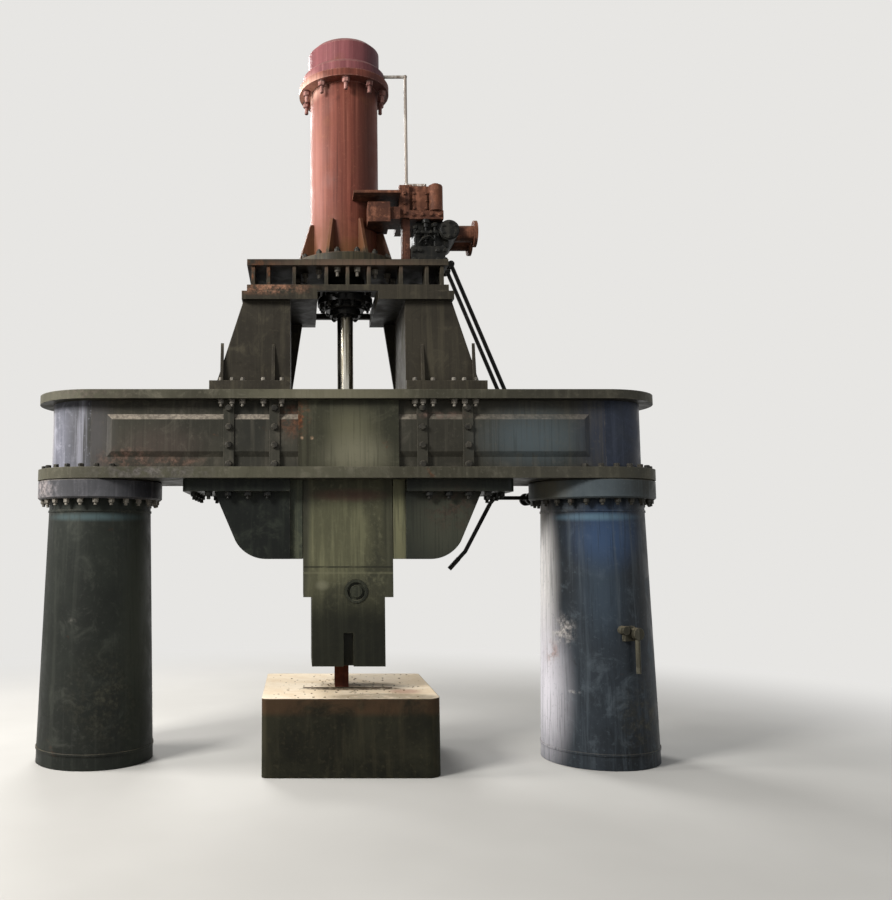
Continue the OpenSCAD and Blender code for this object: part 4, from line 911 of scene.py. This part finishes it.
# Anvil
def forge_scale():
    """Flakes of scale on the anvil, thicker round the prop, and none in the slot."""
    count, reach, lift = 170, 0.6, 0.0005
    flakes = random.Random(21)
    bm = bmesh.new()
    placed = 0
    while placed < count:
        near = flakes.random() < 0.5
        x = flakes.gauss(-0.05, 0.22) if near else flakes.uniform(-reach, reach)
        y = flakes.gauss(-0.05, 0.22) if near else flakes.uniform(-reach, reach)
        off_block = abs(x) > reach or abs(y) > reach or (x > 0.53 and y < -0.53)
        under_prop = abs(x + 0.045) < 0.075 and abs(y + 0.045) < 0.075
        in_slot = -0.36 < x < 0.36 and -0.165 < y < -0.09
        if off_block or under_prop or in_slot:
            continue
        middle = Vector((x, y, ANVIL_TOP + lift))
        size = flakes.uniform(0.003, 0.011)
        turn = flakes.uniform(0, math.tau)
        corners = flakes.choice((4, 5, 6))
        low, high = [], []
        for k in range(corners):
            a = turn + math.tau * k / corners
            r = size * flakes.uniform(0.6, 1.2)
            thick = size * flakes.uniform(0.15, 0.4)
            low.append(bm.verts.new(middle + around(r, a)))
            high.append(bm.verts.new(middle + around(r * 0.85, a, thick)))
        close_rings(bm, [low, high])
        placed += 1
    piece("forge_scale", bm, scale_iron, "frame")


forge_scale()


# Moving pieces
def pin_nuts(name, x, z, body):
    """Heads of a pin on the outer side of each of the two control rods."""
    rod_y, pin_end = (0.6, 0.81), 0.013
    bm = bmesh.new()
    for y in rod_y:
        bolt(bm, Vector((x, y + pin_end, z)), Y, across=0.040, height=0.009, plate=0.002)
    piece(name, bm, bolt_iron, body)


pin_nuts("lever_pin_nuts", x=1.807, z=2.050, body="hand_lever")
pin_nuts("shaft_pin_nuts", x=0.975, z=SHAFT_Z, body="valve_shaft")

# Stage, light and camera
BACKDROP = (0.80, 0.79, 0.77, 1)


def seen_directly(tree):
    """1 for camera, glossy and transmission rays, which see the pale studio, and 0 for its own light."""
    path = tree.nodes.new("ShaderNodeLightPath")
    last = path.outputs["Is Camera Ray"]
    for ray in ("Is Glossy Ray", "Is Transmission Ray"):
        either = tree.nodes.new("ShaderNodeMath")
        either.operation = "MAXIMUM"
        tree.links.new(last, either.inputs[0])
        tree.links.new(path.outputs[ray], either.inputs[1])
        last = either.outputs[0]
    return last


def studio_floor():
    """A pale floor that fades into the backdrop far from the hammer."""
    reach, z, near, far = 40, -0.002, 3.2, 7.5
    mesh = bpy.data.meshes.new("studio_floor")
    mesh.from_pydata([(-reach, -reach, z), (reach, -reach, z), (reach, reach, z), (-reach, reach, z)], [],
                     [(0, 1, 2, 3)])
    floor = bpy.data.objects.new("studio_floor", mesh)
    scene.collection.objects.link(floor)
    n = Nodes("studio_floor_paint", rough=0.9, specular=0.1)
    tone = n.mix(n.ramp(n.noise(0.6, 3), 0.3, 0.7), (188, 186, 181), (194, 192, 187))
    mesh.materials.append(n.finish(n.mix(seen_directly(n.tree), (132, 130, 126), tone)))
    backdrop = n.new("ShaderNodeEmission")
    backdrop.inputs["Color"].default_value = BACKDROP
    fade = n.new("ShaderNodeMixShader")
    away = n.ramp(n.vector("LENGTH", n.place), near, far)
    n.plug(n.times(seen_directly(n.tree), away), fade.inputs[0])
    n.plug(n.bsdf.outputs[0], fade.inputs[1])
    n.plug(backdrop.outputs[0], fade.inputs[2])
    n.plug(fade.outputs[0], n.out.inputs["Surface"])


def studio_world():
    """A plain soft sky that the camera sees as the pale backdrop."""
    world = bpy.data.worlds.new("studio")
    scene.world = world
    world.use_nodes = True
    tree = world.node_tree
    tree.nodes.clear()
    out = tree.nodes.new("ShaderNodeOutputWorld")
    blend = tree.nodes.new("ShaderNodeMixShader")
    tree.links.new(seen_directly(tree), blend.inputs[0])
    for socket, colour, strength in ((1, (0.97, 0.98, 1.0, 1), 0.30), (2, BACKDROP, 1.0)):
        sky = tree.nodes.new("ShaderNodeBackground")
        sky.inputs["Color"].default_value = colour
        sky.inputs["Strength"].default_value = strength
        tree.links.new(sky.outputs[0], blend.inputs[socket])
    tree.links.new(blend.outputs[0], out.inputs[0])


def softbox(name, place, target, size, power, colour=(1, 1, 1)):
    """A square area light at place that looks at target."""
    lamp = bpy.data.lights.new(name, "AREA")
    lamp.size = size
    lamp.energy = power
    lamp.color = colour
    obj = bpy.data.objects.new(name, lamp)
    obj.location = place
    obj.rotation_euler = (Vector(target) - Vector(place)).to_track_quat("-Z", "Y").to_euler()
    scene.collection.objects.link(obj)


def photo_camera():
    """The photograph's camera, whose axis meets the picture axis_x pixels from its left side, tilted up
    by 6 degrees."""
    photo_w, photo_h, axis_x = 892, 900, 300
    eye, tilt = (-0.37, -7.24, 1.65), 96.0
    camera = bpy.data.cameras.new("photo_camera")
    camera.sensor_width = 36.0
    camera.lens = 36.0
    camera.shift_x = (photo_w / 2 - axis_x) / photo_h
    camera.clip_end = 200
    obj = bpy.data.objects.new("photo_camera", camera)
    obj.location = eye
    obj.rotation_euler = (math.radians(tilt), 0, 0)
    scene.collection.objects.link(obj)
    scene.camera = obj


studio_floor()
studio_world()
softbox("key_left", (-7.7, -6.4, 7.2), (0, 0, 2.6), size=3, power=1350, colour=(1.0, 0.985, 0.96))
softbox("side_left", (-8.0, -0.6, 6.2), (0, 0, 4.6), size=3, power=600, colour=(1.0, 0.97, 0.95))
softbox("fill_right", (7.5, -4.5, 3.6), (0.5, 0, 2.6), size=4, power=70, colour=(0.86, 0.93, 1.0))
softbox("back_key", (-3.0, 7.5, 8.5), (0, 0, 2.4), size=4, power=700)
photo_camera()
scene.view_settings.view_transform = "Standard"
